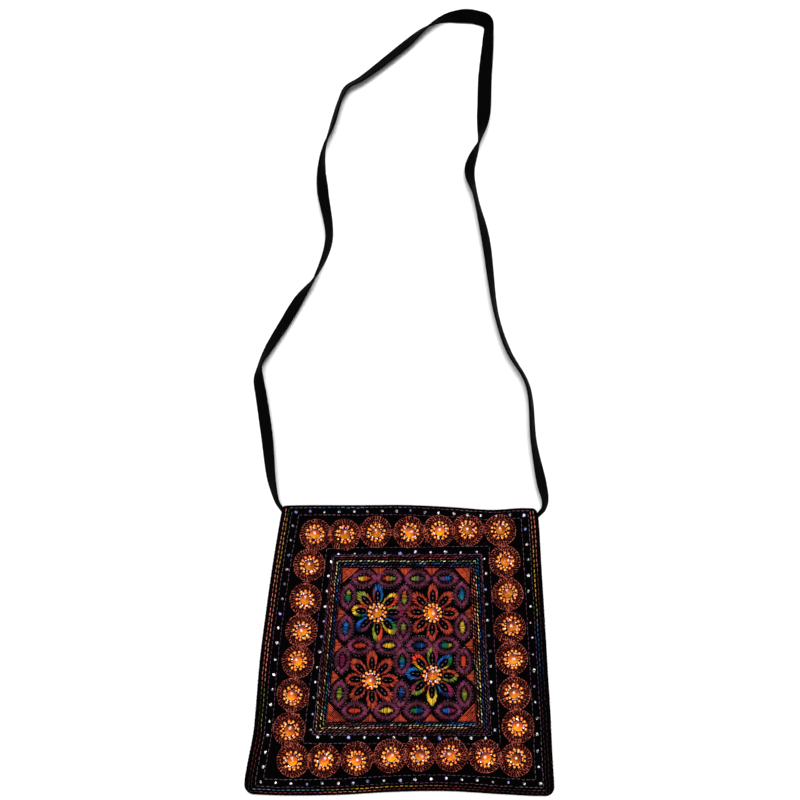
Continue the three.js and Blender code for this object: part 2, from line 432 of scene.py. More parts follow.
@dataclass(frozen=True)
class AmberGlass:
    """Clear orange bead: a warm body with paler clouds under a polished coat, and a painted glow of its
    own colour from emission, as if light shone through it.
    """

    name: str
    foil: float
    # glow is the emission strength: a painted glow, as if light shone through the glass.
    glow: float
    roughness: float = 0.3
    coat: float = 1.38
    coat_roughness: float = 0.04
    cloud_scale: float = 420.0
    depth_tint: Colour = (0.96, 0.66, 0.4)

    def material(self) -> Material:
        """Make the bead's finish.

        Returns:
            The material.
        """
        shader = Shader(bpy.data.materials.new(self.name))
        body = shader.attribute("dye", "Color")
        clouds = shader.noise(shader.object_place(), self.cloud_scale, 3.0, 0.6)
        deep = shader.mix(1.0, body, (*self.depth_tint, 1.0), "MULTIPLY")
        colour = shader.mix(clouds, deep, body)
        # The emission paints a glow in the bead's own colour.
        return shader.surface({"Base Color": colour, "Roughness": clouds * 0.1 + self.roughness,
                               "Metallic": self.foil, "Coat Weight": 1.0,
                               "Coat Roughness": self.coat_roughness,
                               "Coat IOR": self.coat, "Specular IOR Level": 0.0,
                               "Emission Color": colour, "Emission Strength": self.glow})


@dataclass(frozen=True)
class CutCrystal:
    """Small cut stones with a rainbow mirror backing, each facet with its own tint, which is a painted
    glint or a painted dark reflection, and a painted sparkle from emission.
    """

    name: str = "rainbow_crystal"
    # Emission strength in each facet's tint: a painted sparkle.
    painted_sparkle: float = 0.9
    backing: float = 0.25
    roughness: float = 0.1
    coat_roughness: float = 0.02
    haze_scale: float = 900.0
    haze_tint: Colour = (0.86, 0.84, 1.0)

    def material(self) -> Material:
        """Make the crystal's finish.

        Returns:
            The material.
        """
        shader = Shader(bpy.data.materials.new(self.name))
        tint = shader.attribute("dye", "Color")
        haze = shader.noise(shader.object_place(), self.haze_scale, 2.0)
        colour = shader.mix(haze * 0.2, tint, (*self.haze_tint, 1.0))
        # The facets glow in their tint as a painted sparkle.
        return shader.surface({"Base Color": colour, "Metallic": self.backing,
                               "Roughness": haze * 0.1 + self.roughness,
                               "Emission Color": tint, "Emission Strength": self.painted_sparkle,
                               "Coat Weight": 1.0, "Coat Roughness": self.coat_roughness})


@dataclass(frozen=True)
class PaleFloor:
    """Plain pale studio floor, a little brighter far from the bag."""

    name: str = "pale_floor"
    level: float = 0.97
    haze_scale: float = 3.0
    haze_depth: float = 0.01
    reach: float = 2.6
    glow: float = 0.9

    def material(self) -> Material:
        """Make the floor's finish.

        Returns:
            The material.
        """
        shader = Shader(bpy.data.materials.new(self.name))
        place = shader.object_place()
        haze = shader.noise(place, self.haze_scale, 2.0)
        colour = shader.mix(haze, grey(self.level - self.haze_depth), grey(self.level))
        x, y, _ = shader.axes(place)
        far = (x * x + y * y) * (1 / self.reach**2)
        light = shader.mix(far, grey(0.0), grey(1.0))
        return shader.surface({"Base Color": colour, "Roughness": 0.9, "Specular IOR Level": 0.1,
                               "Emission Color": light, "Emission Strength": self.glow})


def make_piece(name: str, points: Points, faces: Sequence[np.ndarray], material: Material,
               dyes: Optional[np.ndarray] = None, smooth: bool = True) -> bpy.types.Object:
    """Make one piece of the bag that rides on its body.

    Args:
        name: The piece's name.
        points: Its points, in metres.
        faces: Arrays of point numbers, each array with one number of corners.
        material: Its finish.
        dyes: A linear colour for each point.
        smooth: Whether faces shade smoothly into each other.

    Returns:
        The new object.
    """
    mesh = bpy.data.meshes.new(name)
    mesh.from_pydata(points.tolist(), [], [face for group in faces for face in group.tolist()])
    mesh.polygons.foreach_set("use_smooth", [smooth] * len(mesh.polygons))
    if dyes is not None:
        attribute = mesh.color_attributes.new("dye", "FLOAT_COLOR", "POINT")
        opaque = np.column_stack([dyes, np.ones(len(dyes))])
        attribute.data.foreach_set("color", opaque.astype(np.float32).ravel())
    mesh.materials.append(material)
    mesh.update()
    piece = bpy.data.objects.new(name, mesh)
    bpy.context.scene.collection.objects.link(piece)
    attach(piece, BODY)
    log.info("%s: %d points, %d faces", name, len(mesh.vertices), len(mesh.polygons))
    return piece


def add_values(piece: bpy.types.Object, name: str, values: np.ndarray) -> None:
    """Give a piece one number for each point."""
    attribute = piece.data.attributes.new(name, "FLOAT", "POINT")
    attribute.data.foreach_set("value", np.asarray(values, np.float32))


def tube_quads(rings: int, sides: int, closed: bool = False) -> np.ndarray:
    """Quads that join rings of points into a tube.

    Args:
        rings: Number of rings.
        sides: Points in each ring.
        closed: Whether the last ring joins the first.

    Returns:
        The quads as point numbers.
    """
    ring = np.arange(rings if closed else rings - 1)[:, None]
    side = np.arange(sides)[None, :]
    following = (ring + 1) % rings
    beside = (side + 1) % sides
    corners = ((ring, side), (ring, beside), (following, beside), (following, side))
    return np.stack([first * sides + second for first, second in corners], axis=-1).reshape(-1, 4)


def repeated(faces: np.ndarray, copies: int, points_each: int) -> np.ndarray:
    """Faces of one template for a number of copies of its points."""
    steps = np.arange(copies)[:, None, None] * points_each
    return (faces[None] + steps).reshape(-1, faces.shape[1])


def capped_tubes(copies: int, rings: int, sides: int) -> list[np.ndarray]:
    """Faces of many short tubes of one kind, each closed at both ends.

    Args:
        copies: Number of tubes, whose points follow each other.
        rings: Rings of points in each.
        sides: Points in each ring.

    Returns:
        The quads and the end caps, as point numbers.
    """
    each = rings * sides
    caps = np.array([np.arange(sides)[::-1], np.arange(sides) + each - sides])
    return [repeated(faces, copies, each) for faces in (tube_quads(rings, sides), caps)]


@dataclass(frozen=True)
class PouchForm:
    """Outline and height of the pouch, as the CAD panels have them."""

    front_wall: float = 2.0 * MM
    back_wall: float = 1.5 * MM
    seam_gap: float = 0.3 * MM
    pouch_gap: float = 7.2 * MM
    mouth_share: float = 0.86
    mouth_ease: float = 45 * MM
    seam_roll: float = 26 * MM
    seam_roll_power: float = 2.2
    corner_foot_left: float = 7 * MM
    corner_foot_right: float = 6.5 * MM
    corner_mouth_left: float = 2 * MM
    corner_mouth_right: float = 4 * MM
    side_places: np.ndarray = field(
        default_factory=lambda: np.array([-118, -107, -90, -70, -50, -12, 26, 66, 106, 118]) * MM)
    left_edge: np.ndarray = field(default_factory=lambda: np.array(
        [-125, -125, -122.8, -119.9, -119, -117.6, -114.6, -110.8, -106, -104.2]) * MM)
    right_edge: np.ndarray = field(default_factory=lambda: np.array(
        [125, 125, 124, 122.9, 122, 119.6, 117.3, 114.7, 112.3, 110.6]) * MM)
    end_places: np.ndarray = field(
        default_factory=lambda: np.array([0, 0.12, 0.3, 0.48, 0.65, 0.82, 0.93, 1]))
    foot_edge: np.ndarray = field(default_factory=lambda: np.array(
        [-117.6, -118, -116.4, -112.9, -111.2, -112.3, -113, -112.8]) * MM)
    mouth_edge: np.ndarray = field(default_factory=lambda: np.array(
        [114.6, 115.4, 116.4, 117.5, 116.9, 115.4, 117.4, 118]) * MM)
    # Each dent by its middle across and along, its radius and its depth.
    dents: np.ndarray = field(default_factory=lambda: np.array([
        [74, 112, 34, 0.8], [-40, 108, 30, 0.6], [20, -96, 40, 0.8], [-98, -62, 32, 0.7],
        [0, 4, 42, 0.5],
    ]) * MM)
    inset_passes: int = 6

    def left(self, y: np.ndarray) -> np.ndarray:
        """Left edge at a height along the bag."""
        return smooth_curve(self.side_places, self.left_edge, y)

    def right(self, y: np.ndarray) -> np.ndarray:
        """Right edge at a height along the bag."""
        return smooth_curve(self.side_places, self.right_edge, y)

    def foot(self, across: np.ndarray) -> np.ndarray:
        """Foot edge at a share of the width."""
        return smooth_curve(self.end_places, self.foot_edge, across)

    def mouth(self, across: np.ndarray) -> np.ndarray:
        """Mouth edge at a share of the width."""
        return smooth_curve(self.end_places, self.mouth_edge, across)

    @property
    def mean_width(self) -> float:
        """Width across the middle of the bag."""
        return float(self.right(0.0) - self.left(0.0))

    @property
    def mean_height(self) -> float:
        """Height along the middle of the bag."""
        return float(self.mouth(0.5) - self.foot(0.5))

    def shares(self, x: np.ndarray, y: np.ndarray) -> tuple[np.ndarray, np.ndarray]:
        """Shares across and along the bag of places on it.

        Args:
            x: Places across.
            y: Places along.

        Returns:
            Their shares of the width and of the height.
        """
        across = (x - self.left(y)) / (self.right(y) - self.left(y))
        along = (y - self.foot(across)) / (self.mouth(across) - self.foot(across))
        return across, along

    def height(self, x: np.ndarray, y: np.ndarray, across: np.ndarray, along: np.ndarray) -> np.ndarray:
        """Height of the front wall's outer face.

        Args:
            x: Places across.
            y: Places along.
            across: Their shares of the width.
            along: Their shares of the height.

        Returns:
            The height above the surface that the bag lies on.
        """
        side = np.minimum(across, 1 - across) * self.mean_width
        lift = self._rise(side) * self._rise(along * self.mean_height)
        eased = np.clip((1 - along) * self.mean_height / self.mouth_ease, 0, 1)
        eased = eased * eased * (3 - 2 * eased)
        opened = self.mouth_share + (1 - self.mouth_share) * eased
        gap = self.seam_gap + (self.pouch_gap - self.seam_gap) * lift * opened
        for middle_x, middle_y, radius, depth in self.dents:
            reach = ((x - middle_x) ** 2 + (y - middle_y) ** 2) / radius**2
            gap = gap - depth * lift * np.exp(-reach)
        return self.back_wall + gap + self.front_wall

    def _rise(self, distance: np.ndarray) -> np.ndarray:
        """Share of the full height reached at a distance from a seam."""
        return 1 - (1 - np.clip(distance / self.seam_roll, 0, 1)) ** self.seam_roll_power

    def height_at(self, x: np.ndarray, y: np.ndarray) -> np.ndarray:
        """Height of the front wall's outer face over places given by their coordinates."""
        return self.height(x, y, *self.shares(x, y))

    def grid(self, columns: int, rows: int) -> tuple[np.ndarray, np.ndarray, np.ndarray]:
        """Grid over the outline, with its round corners.

        Args:
            columns: Lines across.
            rows: Lines along.

        Returns:
            The places across, the places along and the front wall's height, one row for each line along.
        """
        across, along = np.meshgrid(np.linspace(0, 1, columns), np.linspace(0, 1, rows))
        side = np.minimum(across, 1 - across) * self.mean_width
        end = np.minimum(along, 1 - along) * self.mean_height
        is_left = across < 0.5
        is_foot = along < 0.5
        radius = np.where(is_foot, np.where(is_left, self.corner_foot_left, self.corner_foot_right),
                          np.where(is_left, self.corner_mouth_left, self.corner_mouth_right))
        p = np.clip(1 - side / radius, 0, 1)
        q = np.clip(1 - end / radius, 0, 1)
        in_corner = (side < radius) & (end < radius)
        side = np.where(in_corner, radius * (1 - p * np.sqrt(1 - q * q / 2)), side) / self.mean_width
        end = np.where(in_corner, radius * (1 - q * np.sqrt(1 - p * p / 2)), end) / self.mean_height
        u = np.where(is_left, side, 1 - side)
        v = np.where(is_foot, end, 1 - end)
        foot = self.foot(u)
        y = foot + (self.mouth(u) - foot) * v
        left = self.left(y)
        x = left + (self.right(y) - left) * u
        return x, y, self.height(x, y, u, v)

    def inset_line(self, side: Side, inset: float, start_inset: float, end_inset: float,
                   count: int = 160) -> Points:
        """Line inside one edge of the outline, between the insets of its two neighbours.

        Args:
            side: The edge that the line follows.
            inset: Its distance from that edge.
            start_inset: Inset of the neighbour at its start, which is the left or the foot.
            end_inset: Inset of the neighbour at its end, which is the right or the mouth.
            count: Number of points.

        Returns:
            The points, from left to right or from foot to mouth.
        """
        t = np.linspace(0, 1, count)
        x = np.zeros(count)
        y = np.zeros(count)
        for _ in range(self.inset_passes):
            across = self.shares(x, y)[0]
            if side in (Side.LEFT, Side.RIGHT):
                low = self.foot(across) + start_inset
                y = low + (self.mouth(across) - end_inset - low) * t
                x = self.left(y) + inset if side is Side.LEFT else self.right(y) - inset
            else:
                y = self.foot(across) + inset if side is Side.FOOT else self.mouth(across) - inset
                low = self.left(y) + start_inset
                x = low + (self.right(y) - end_inset - low) * t
        return np.stack([x, y], axis=1)


@dataclass
class PouchCloth:
    """The two cloth walls of the pouch and the black thread that sews them together."""

    form: PouchForm
    columns: int = 150
    rows: int = 142
    edge_rings: int = 3
    edge_bulge: float = 0.55 * MM
    seam_pitch: float = 3.1 * MM
    seam_reach: float = 1.7 * MM
    seam_thread: float = 0.42 * MM
    seam_ends: float = 9 * MM
    seam_mouth: float = 3 * MM
    seam_bite: float = 0.2 * MM
    seam_stand: float = 1.4
    seam_slant: float = 0.3
    seam_bends: int = 9
    seam_sides: int = 6
    seam_dye: Colour = (0.006, 0.0055, 0.006)
    floor_clearance: float = 0.02 * MM

    def build(self) -> None:
        """Make the front, the back and the seam."""
        self._front()
        self._back()
        self._seam()

    def _shell(self, name: str, x: np.ndarray, y: np.ndarray, top: np.ndarray, bottom: np.ndarray,
               material: Material) -> bpy.types.Object:
        """Close an upper and a lower sheet with a rounded edge.

        Args:
            name: The piece's name.
            x: Grid places across.
            y: Grid places along.
            top: Heights of the upper sheet.
            bottom: Heights of the lower sheet.
            material: The finish.

        Returns:
            The closed piece.
        """
        rows, columns = x.shape
        upper = np.stack([x, y, top], axis=-1).reshape(-1, 3)
        lower = np.stack([x, y, bottom], axis=-1).reshape(-1, 3)
        number = np.arange(rows * columns).reshape(rows, columns)
        quads = np.stack([number[:-1, :-1], number[:-1, 1:], number[1:, 1:], number[1:, :-1]], axis=-1)
        quads = quads.reshape(-1, 4)
        rim = np.concatenate([number[0, :-1], number[:-1, -1], number[-1, :0:-1], number[:0:-1, 0]])
        ring = upper[rim]
        outward = np.roll(ring, -1, axis=0) - np.roll(ring, 1, axis=0)
        outward = np.stack([outward[:, 1], -outward[:, 0], np.zeros(len(rim))], axis=1)
        outward /= np.linalg.norm(outward, axis=1, keepdims=True)
        rings = []
        for step in range(1, self.edge_rings + 1):
            turn = math.pi * step / (self.edge_rings + 1)
            level = (1 + math.cos(turn)) / 2
            between = lower[rim] + (ring - lower[rim]) * level
            rings.append(between + outward * self.edge_bulge * math.sin(turn))
        sheet = rows * columns
        first = 2 * sheet
        stack = [rim] + [first + k * len(rim) + np.arange(len(rim)) for k in range(self.edge_rings)]
        stack.append(rim + sheet)
        edges = [np.stack([a, b, np.roll(b, -1), np.roll(a, -1)], axis=1)
                 for a, b in zip(stack[:-1], stack[1:])]
        points = np.concatenate([upper, lower, *rings])
        return make_piece(name, points, [quads, quads[:, ::-1] + sheet, *edges], material)

    def _front(self) -> None:
        """The embroidered wall, rising from the seams over the open pouch."""
        x, y, top = self.form.grid(self.columns, self.rows)
        cloth = WovenCloth("black_front_cloth", (0.0004, 0.0003, 0.0004), (0.0014, 0.0012, 0.0013))
        front = self._shell("front_cloth", x, y, top, top - self.form.front_wall, cloth.material())
        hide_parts("front_panel")

    def _back(self) -> None:
        """The plain wall, lying flat."""
        x, y, _ = self.form.grid(self.columns // 2, self.rows // 2)
        low, high = (np.full(x.shape, level) for level in (self.floor_clearance, self.form.back_wall))
        cloth = WovenCloth("black_back_cloth", (0.001, 0.0009, 0.001), (0.0032, 0.0029, 0.0031))
        back = self._shell("back_cloth", x, y, high, low, cloth.material())
        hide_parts("back_panel")

    def _seam(self) -> None:
        """Whipped stitches round the two sides and the foot, from the front's edge to the back's."""
        stitches = np.concatenate([self._whip(side) for side in (Side.LEFT, Side.FOOT, Side.RIGHT)])
        points = stitches.reshape(-1, 3)
        faces = capped_tubes(len(stitches), self.seam_bends, self.seam_sides)
        thread = SpunThread("black_sewing_thread", roughness=0.7, gloss=0.15).material()
        make_piece("seam_stitches", points, faces, thread,
                   np.tile(self.seam_dye, (len(points), 1)))

    def _whip(self, side: Side) -> np.ndarray:
        """Whip one side.

        Args:
            side: The side to sew.

        Returns:
            The points of each stitch, ring by ring.
        """
        top = self.form.back_wall + self.form.seam_gap + self.form.front_wall
        end = self.seam_ends if side is Side.FOOT else self.seam_mouth
        line = self.form.inset_line(side, 0.0, self.seam_ends, end)
        places, headings, _ = walk(line, self.seam_pitch)
        outward = turned_left(headings) * (1 if side is Side.LEFT else -1)
        bends = np.linspace(0, math.pi, self.seam_bends)
        over = np.clip(np.cos(bends), 0, 1)
        reach = np.sin(bends) * (self.edge_bulge + self.seam_thread / 2) - over * self.seam_reach
        level = top / 2 + np.cos(bends) * (top / 2 - self.seam_bite)
        level = level + over * self.seam_thread * self.seam_stand
        slant = np.linspace(-self.seam_slant, self.seam_slant, len(bends)) * self.seam_pitch
        middle = np.empty((len(places), len(bends), 3))
        middle[..., :2] = (places[:, None] + outward[:, None] * reach[None, :, None]
                           + headings[:, None] * slant[None, :, None])
        middle[..., 2] = level[None]
        forward = np.gradient(middle, axis=1)
        forward /= np.linalg.norm(forward, axis=2, keepdims=True)
        beside = np.zeros_like(middle)
        beside[..., :2] = headings[:, None]
        third = np.cross(forward, beside)
        around = even_turns(self.seam_sides)
        spread = (beside[:, :, None] * np.cos(around)[None, None, :, None]
                  + third[:, :, None] * np.sin(around)[None, None, :, None])
        return middle[:, :, None] + spread * (self.seam_thread / 2)


@dataclass
class Strap:
    """The tape strap, lying in its long loop with its turns, narrowed into the two top corners."""

    # Each place by metres across and along, the bank in degrees and the width in metres.
    route: np.ndarray = field(default_factory=lambda: np.array([
        (-0.1061, 0.1127, 62, 0.005), (-0.1098, 0.118, 62, 0.0065), (-0.1153, 0.1365, 54, 0.012),
        (-0.1213, 0.1735, 35, 0.012), (-0.128, 0.2085, 37, 0.012), (-0.1312, 0.2245, 44, 0.012),
        (-0.1305, 0.236, 68, 0.012), (-0.124, 0.251, 50, 0.012), (-0.111, 0.275, 36, 0.012),
        (-0.0995, 0.2965, 40, 0.012), (-0.0845, 0.3205, 84, 0.012), (-0.075, 0.3525, 112, 0.012),
        (-0.0823, 0.398, 138, 0.012), (-0.084, 0.419, 116, 0.012), (-0.0825, 0.439, 90, 0.012),
        (-0.0764, 0.4605, 66, 0.012), (-0.0695, 0.4875, 66, 0.012), (-0.0637, 0.4998, 54, 0.012),
        (-0.0513, 0.5082, 47, 0.012), (-0.0135, 0.542, 37, 0.012), (0.0065, 0.5607, 60, 0.012),
        (0.0223, 0.5698, 88, 0.012), (0.0365, 0.573, 120, 0.012), (0.0535, 0.5748, 165, 0.012),
        (0.0645, 0.5675, 128, 0.012), (0.065, 0.553, 136, 0.012), (0.0627, 0.513, 164, 0.012),
        (0.062, 0.479, 160, 0.012), (0.0586, 0.451, 98, 0.012), (0.0496, 0.4215, 44, 0.012),
        (0.0555, 0.3955, 68, 0.012), (0.0645, 0.358, 51, 0.012), (0.0747, 0.288, 69, 0.012),
        (0.0857, 0.2547, 66, 0.012), (0.1026, 0.2243, 70, 0.012), (0.108, 0.1745, 62, 0.012),
        (0.1149, 0.1395, 45, 0.012), (0.1178, 0.125, 56, 0.010), (0.1165, 0.118, 62, 0.007),
        (0.1127, 0.1135, 62, 0.005),
    ]))
    width: float = 12 * MM
    fullness: float = 1.07
    thickness: float = 2.0 * MM
    lift: float = 0.05 * MM
    tuck: float = 6 * MM
    steps: int = 560
    fine_steps: int = 24
    half_section: tuple = (1.0, 0.985, 0.94, 0.86, 0.76, 0.55, 0.2)
    flat_share: float = 0.84
    welt: float = 0.16
    welt_place: float = 0.9
    welt_half: float = 0.07
    groove_place: float = 0.76
    groove_half: float = 0.05
    edge_power: int = 14
    edge_least: float = 0.02

    def build(self) -> None:
        middle, across, face, wide, along = self._sweep()
        shares = np.array([*self.half_section, *(-share for share in reversed(self.half_section))])
        swell = self._swell(shares)
        section_across = np.concatenate([shares, shares[::-1]])
        section_face = np.concatenate([swell, -swell[::-1]])
        sides = len(section_across)
        rings = (middle[:, None]
                 + across[:, None] * (wide[:, None] / 2 * section_across[None])[..., None]
                 + face[:, None] * (self.thickness / 2 * section_face)[None, :, None])
        rings = np.concatenate([[rings[0] + self._tucked(middle[0] - middle[1])], rings,
                                [rings[-1] + self._tucked(middle[-1] - middle[-2])]])
        run = np.concatenate([[-self.tuck], along, [along[-1] + self.tuck]])
        tube = tube_quads(len(rings), sides)[:, ::-1]
        caps = np.array([np.arange(sides), (len(rings) - 1) * sides + np.arange(sides)[::-1]])
        piece = make_piece("strap_tape", rings.reshape(-1, 3), [tube, caps], RibbedTape().material())
        add_values(piece, "across", np.tile(section_across, len(rings)))
        add_values(piece, "along", np.repeat(run, sides))
        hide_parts("strap")

    def _tucked(self, way: np.ndarray) -> np.ndarray:
        """The level step from an end of the route to the sewn end of the tape."""
        level = way * np.array([1.0, 1.0, 0.0])
        return level / np.linalg.norm(level) * self.tuck

    def _swell(self, shares: np.ndarray) -> np.ndarray:
        """Share of the half thickness over the tape's width, with a raised welt by each edge.

        Args:
            shares: Places over the half width, from -1 to 1.

        Returns:
            The share at each place.
        """
        size = np.abs(shares)
        welt = np.exp(-(((size - self.welt_place) / self.welt_half) ** 2))
        groove = np.exp(-(((size - self.groove_place) / self.groove_half) ** 2))
        rounded = np.sqrt(np.clip(1 - size**self.edge_power, self.edge_least, 1))
        return rounded * (self.flat_share + self.welt * (welt - groove))

    def _sweep(self) -> tuple[Points, Points, Points, np.ndarray, np.ndarray]:
        """Carry the tape along its route, turned about it and resting on its lower edge.

        Returns:
            The centreline, the directions across and out of the tape, its width, and the length so far.
        """
        knots = np.arange(len(self.route), dtype=float)
        fine = np.linspace(0, knots[-1], len(self.route) * self.fine_steps)
        line = self._centripetal(fine)
        lengths = lengths_along(line)
        even = np.linspace(0, lengths[-1], self.steps)
        knot = np.interp(even, lengths, fine)
        flat = self._centripetal(knot)
        bank = np.radians(smooth_curve(knots, self.route[:, 2], knot))
        wide = smooth_curve(knots, self.route[:, 3], knot) * self.fullness
        rest = (np.abs(np.sin(bank)) * wide + np.abs(np.cos(bank)) * self.thickness) / 2 + self.lift
        middle = np.column_stack([flat, rest])
        tangent = np.gradient(flat, axis=0)
        tangent /= np.linalg.norm(tangent, axis=1, keepdims=True)
        side = np.column_stack([tangent[:, 1], -tangent[:, 0], np.zeros(self.steps)])
        up = np.array([[0.0, 0.0, 1.0]])
        across = side * np.cos(bank)[:, None] + up * np.sin(bank)[:, None]
        face = up * np.cos(bank)[:, None] - side * np.sin(bank)[:, None]
        return middle, across, face, wide, lengths_along(middle)

    def _centripetal(self, knot: np.ndarray) -> Points:
        """Flat curve through the route's places, spaced by the root of their distances.

        Args:
            knot: Values along the curve, with a whole number at each place of the route.

        Returns:
            The curve's points.
        """
        places = self.route[:, :2]
        padded = np.vstack([2 * places[0] - places[1], places, 2 * places[-1] - places[-2]])
        index = np.minimum(knot.astype(int), len(places) - 2)
        weight = (knot - index)[:, None]
        p0, p1, p2, p3 = (padded[index + k] for k in range(4))
        d0, d1, d2 = (np.sqrt(np.linalg.norm(b - a, axis=1, keepdims=True)) for a, b in
                      ((p0, p1), (p1, p2), (p2, p3)))
        start = ((p1 - p0) / d0 - (p2 - p0) / (d0 + d1) + (p2 - p1) / d1) * d1
        end = ((p2 - p1) / d1 - (p3 - p1) / (d1 + d2) + (p3 - p2) / d2) * d1
        cubic = 2 * p1 - 2 * p2 + start + end
        square = -3 * p1 + 3 * p2 - 2 * start - end
        return p1 + start * weight + square * weight**2 + cubic * weight**3


@dataclass(frozen=True)
class Yarn:
    """How a thread lies: its width, the height of a stitch's middle and the spread of its brightness."""

    width: float
    crown: float
    shade: float


class Needlework:
    """Stitches gathered for one piece: each is a short raised thread between two places on the cloth."""

    RING_SHARES = np.array([0.0, 0.22, 0.78, 1.0])
    RING_GIRTHS = np.array([0.4, 1.0, 1.0, 0.4])
    RING_LIFTS = np.array([0.0, 1.0, 1.0, 0.0])
    SIDES = 5
    FLATTENING = 0.8
    WIDTH_SPREAD = 0.06
    CROWN_SPREAD = 0.08
    TONE_LIMITS = (0.4, 1.6)

    def __init__(self, form: PouchForm, seed: int) -> None:
        """Start with no stitches.

        Args:
            form: The cloth that they are sewn on.
            seed: Seed of their small differences.
        """
        self.form = form
        self.chance = np.random.default_rng(seed)
        self.points: list[np.ndarray] = []
        self.dyes: list[np.ndarray] = []

    def add(self, starts: Points, ends: Points, yarn: Yarn, dye: np.ndarray) -> None:
        """Add stitches.

        Args:
            starts: Flat places where the threads come up.
            ends: Flat places where they go down.
            yarn: How they lie.
            dye: Their linear colour, or one for each thread.
        """
        count = len(starts)
        wide = yarn.width * self.chance.normal(1.0, self.WIDTH_SPREAD, count)
        high = yarn.crown * self.chance.normal(1.0, self.CROWN_SPREAD, count)
        heading = ends - starts
        heading = heading / np.maximum(np.linalg.norm(heading, axis=1, keepdims=True), 1e-9)
        side = turned_left(heading)
        around = even_turns(self.SIDES) + math.pi / 2
        along = starts[:, None] + (ends - starts)[:, None] * self.RING_SHARES[None, :, None]
        girth = wide[:, None, None] / 2 * self.RING_GIRTHS[None, :, None]
        spread = girth * np.cos(around)[None, None]
        flat = along[:, :, None] + side[:, None, None] * spread[..., None]
        rise = girth * self.FLATTENING * np.sin(around)[None, None]
        lifted = high[:, None, None] * self.RING_LIFTS[None, :, None] + rise
        ground = self.form.height_at(along[..., 0], along[..., 1])
        points = np.concatenate([flat, (ground[:, :, None] + lifted)[..., None]], axis=-1)
        tone = np.clip(self.chance.normal(1.0, yarn.shade, (count, 1)), *self.TONE_LIMITS)
        self.points.append(points.reshape(-1, 3))
        self.dyes.append(np.repeat(dye * tone, len(self.RING_SHARES) * self.SIDES, axis=0))

    def jitter(self, places: Points, spread: float) -> Points:
        """Places moved a little at random."""
        return places + self.chance.normal(0, spread, places.shape)

    def pick(self, threads: Threads, count: int) -> np.ndarray:
        """Colours drawn at random from some threads."""
        palette = np.array([thread.linear for thread in threads])
        return palette[self.chance.integers(0, len(palette), count)]

    def piece(self, name: str, material: Material) -> None:
        """Join the stitches into one piece.

        Args:
            name: The piece's name.
            material: Its finish.
        """
        points = np.concatenate(self.points)
        rings = len(self.RING_SHARES)
        copies = len(points) // (rings * self.SIDES)
        make_piece(name, points, capped_tubes(copies, rings, self.SIDES), material,
                   np.concatenate(self.dyes))


@dataclass(frozen=True)
class PanelFrame:
    """A four-sided frame by its corners, and places in it by shares across and up."""

    foot_left: tuple
    foot_right: tuple
    mouth_left: tuple
    mouth_right: tuple

    def place(self, across: float, up: float) -> Points:
        """Find a place in the panel.

        Args:
            across: Its share of the way across.
            up: Its share of the way up.

        Returns:
            The flat place.
        """
        low = np.array(self.foot_left) * (1 - across) + np.array(self.foot_right) * across
        high = np.array(self.mouth_left) * (1 - across) + np.array(self.mouth_right) * across
        return low * (1 - up) + high * up

    def axes(self, across: float, up: float) -> np.ndarray:
        """Find the panel's directions at a place.

        Args:
            across: The place's share of the way across.
            up: Its share of the way up.

        Returns:
            Unit directions across and up the panel, as two rows.
        """
        step = 0.01
        right = self.place(across + step, up) - self.place(across - step, up)
        ahead = self.place(across, up + step) - self.place(across, up - step)
        return np.array([right / np.linalg.norm(right), ahead / np.linalg.norm(ahead)])

    def sides(self, outsets: Sequence[float]) -> dict[Side, Points]:
        """Draw straight lines round the outline that meet at their corners.

        Args:
            outsets: How far the left, right, foot and mouth lines lie outside their sides.

        Returns:
            The two ends of each line.
        """
        left, right, foot, mouth = outsets
        corners = np.array([self.foot_left, self.foot_right, self.mouth_right, self.mouth_left])
        edges = []
        for index, shift in enumerate((foot, right, mouth, left)):
            start = corners[index]
            heading = corners[(index + 1) % 4] - start
            heading = heading / np.linalg.norm(heading)
            edges.append((start + np.array([heading[1], -heading[0]]) * shift, heading))
        meets = []
        for index in range(4):
            (a, u), (b, v) = edges[index - 1], edges[index]
            reach = np.linalg.solve(np.stack([u, -v], axis=1), b - a)
            meets.append(a + u * reach[0])
        foot_left, foot_right, mouth_right, mouth_left = meets
        ends = {Side.FOOT: (foot_left, foot_right), Side.RIGHT: (foot_right, mouth_right),
                Side.MOUTH: (mouth_left, mouth_right), Side.LEFT: (foot_left, mouth_left)}
        return {side: np.array(pair) for side, pair in ends.items()}


@dataclass(frozen=True)
class StitchRow:
    """One line of running stitches, by its insets from the left, the right, the foot and the mouth."""

    insets: tuple
    stop: float
    yarn: Yarn
    colours: dict[Side, Threads]


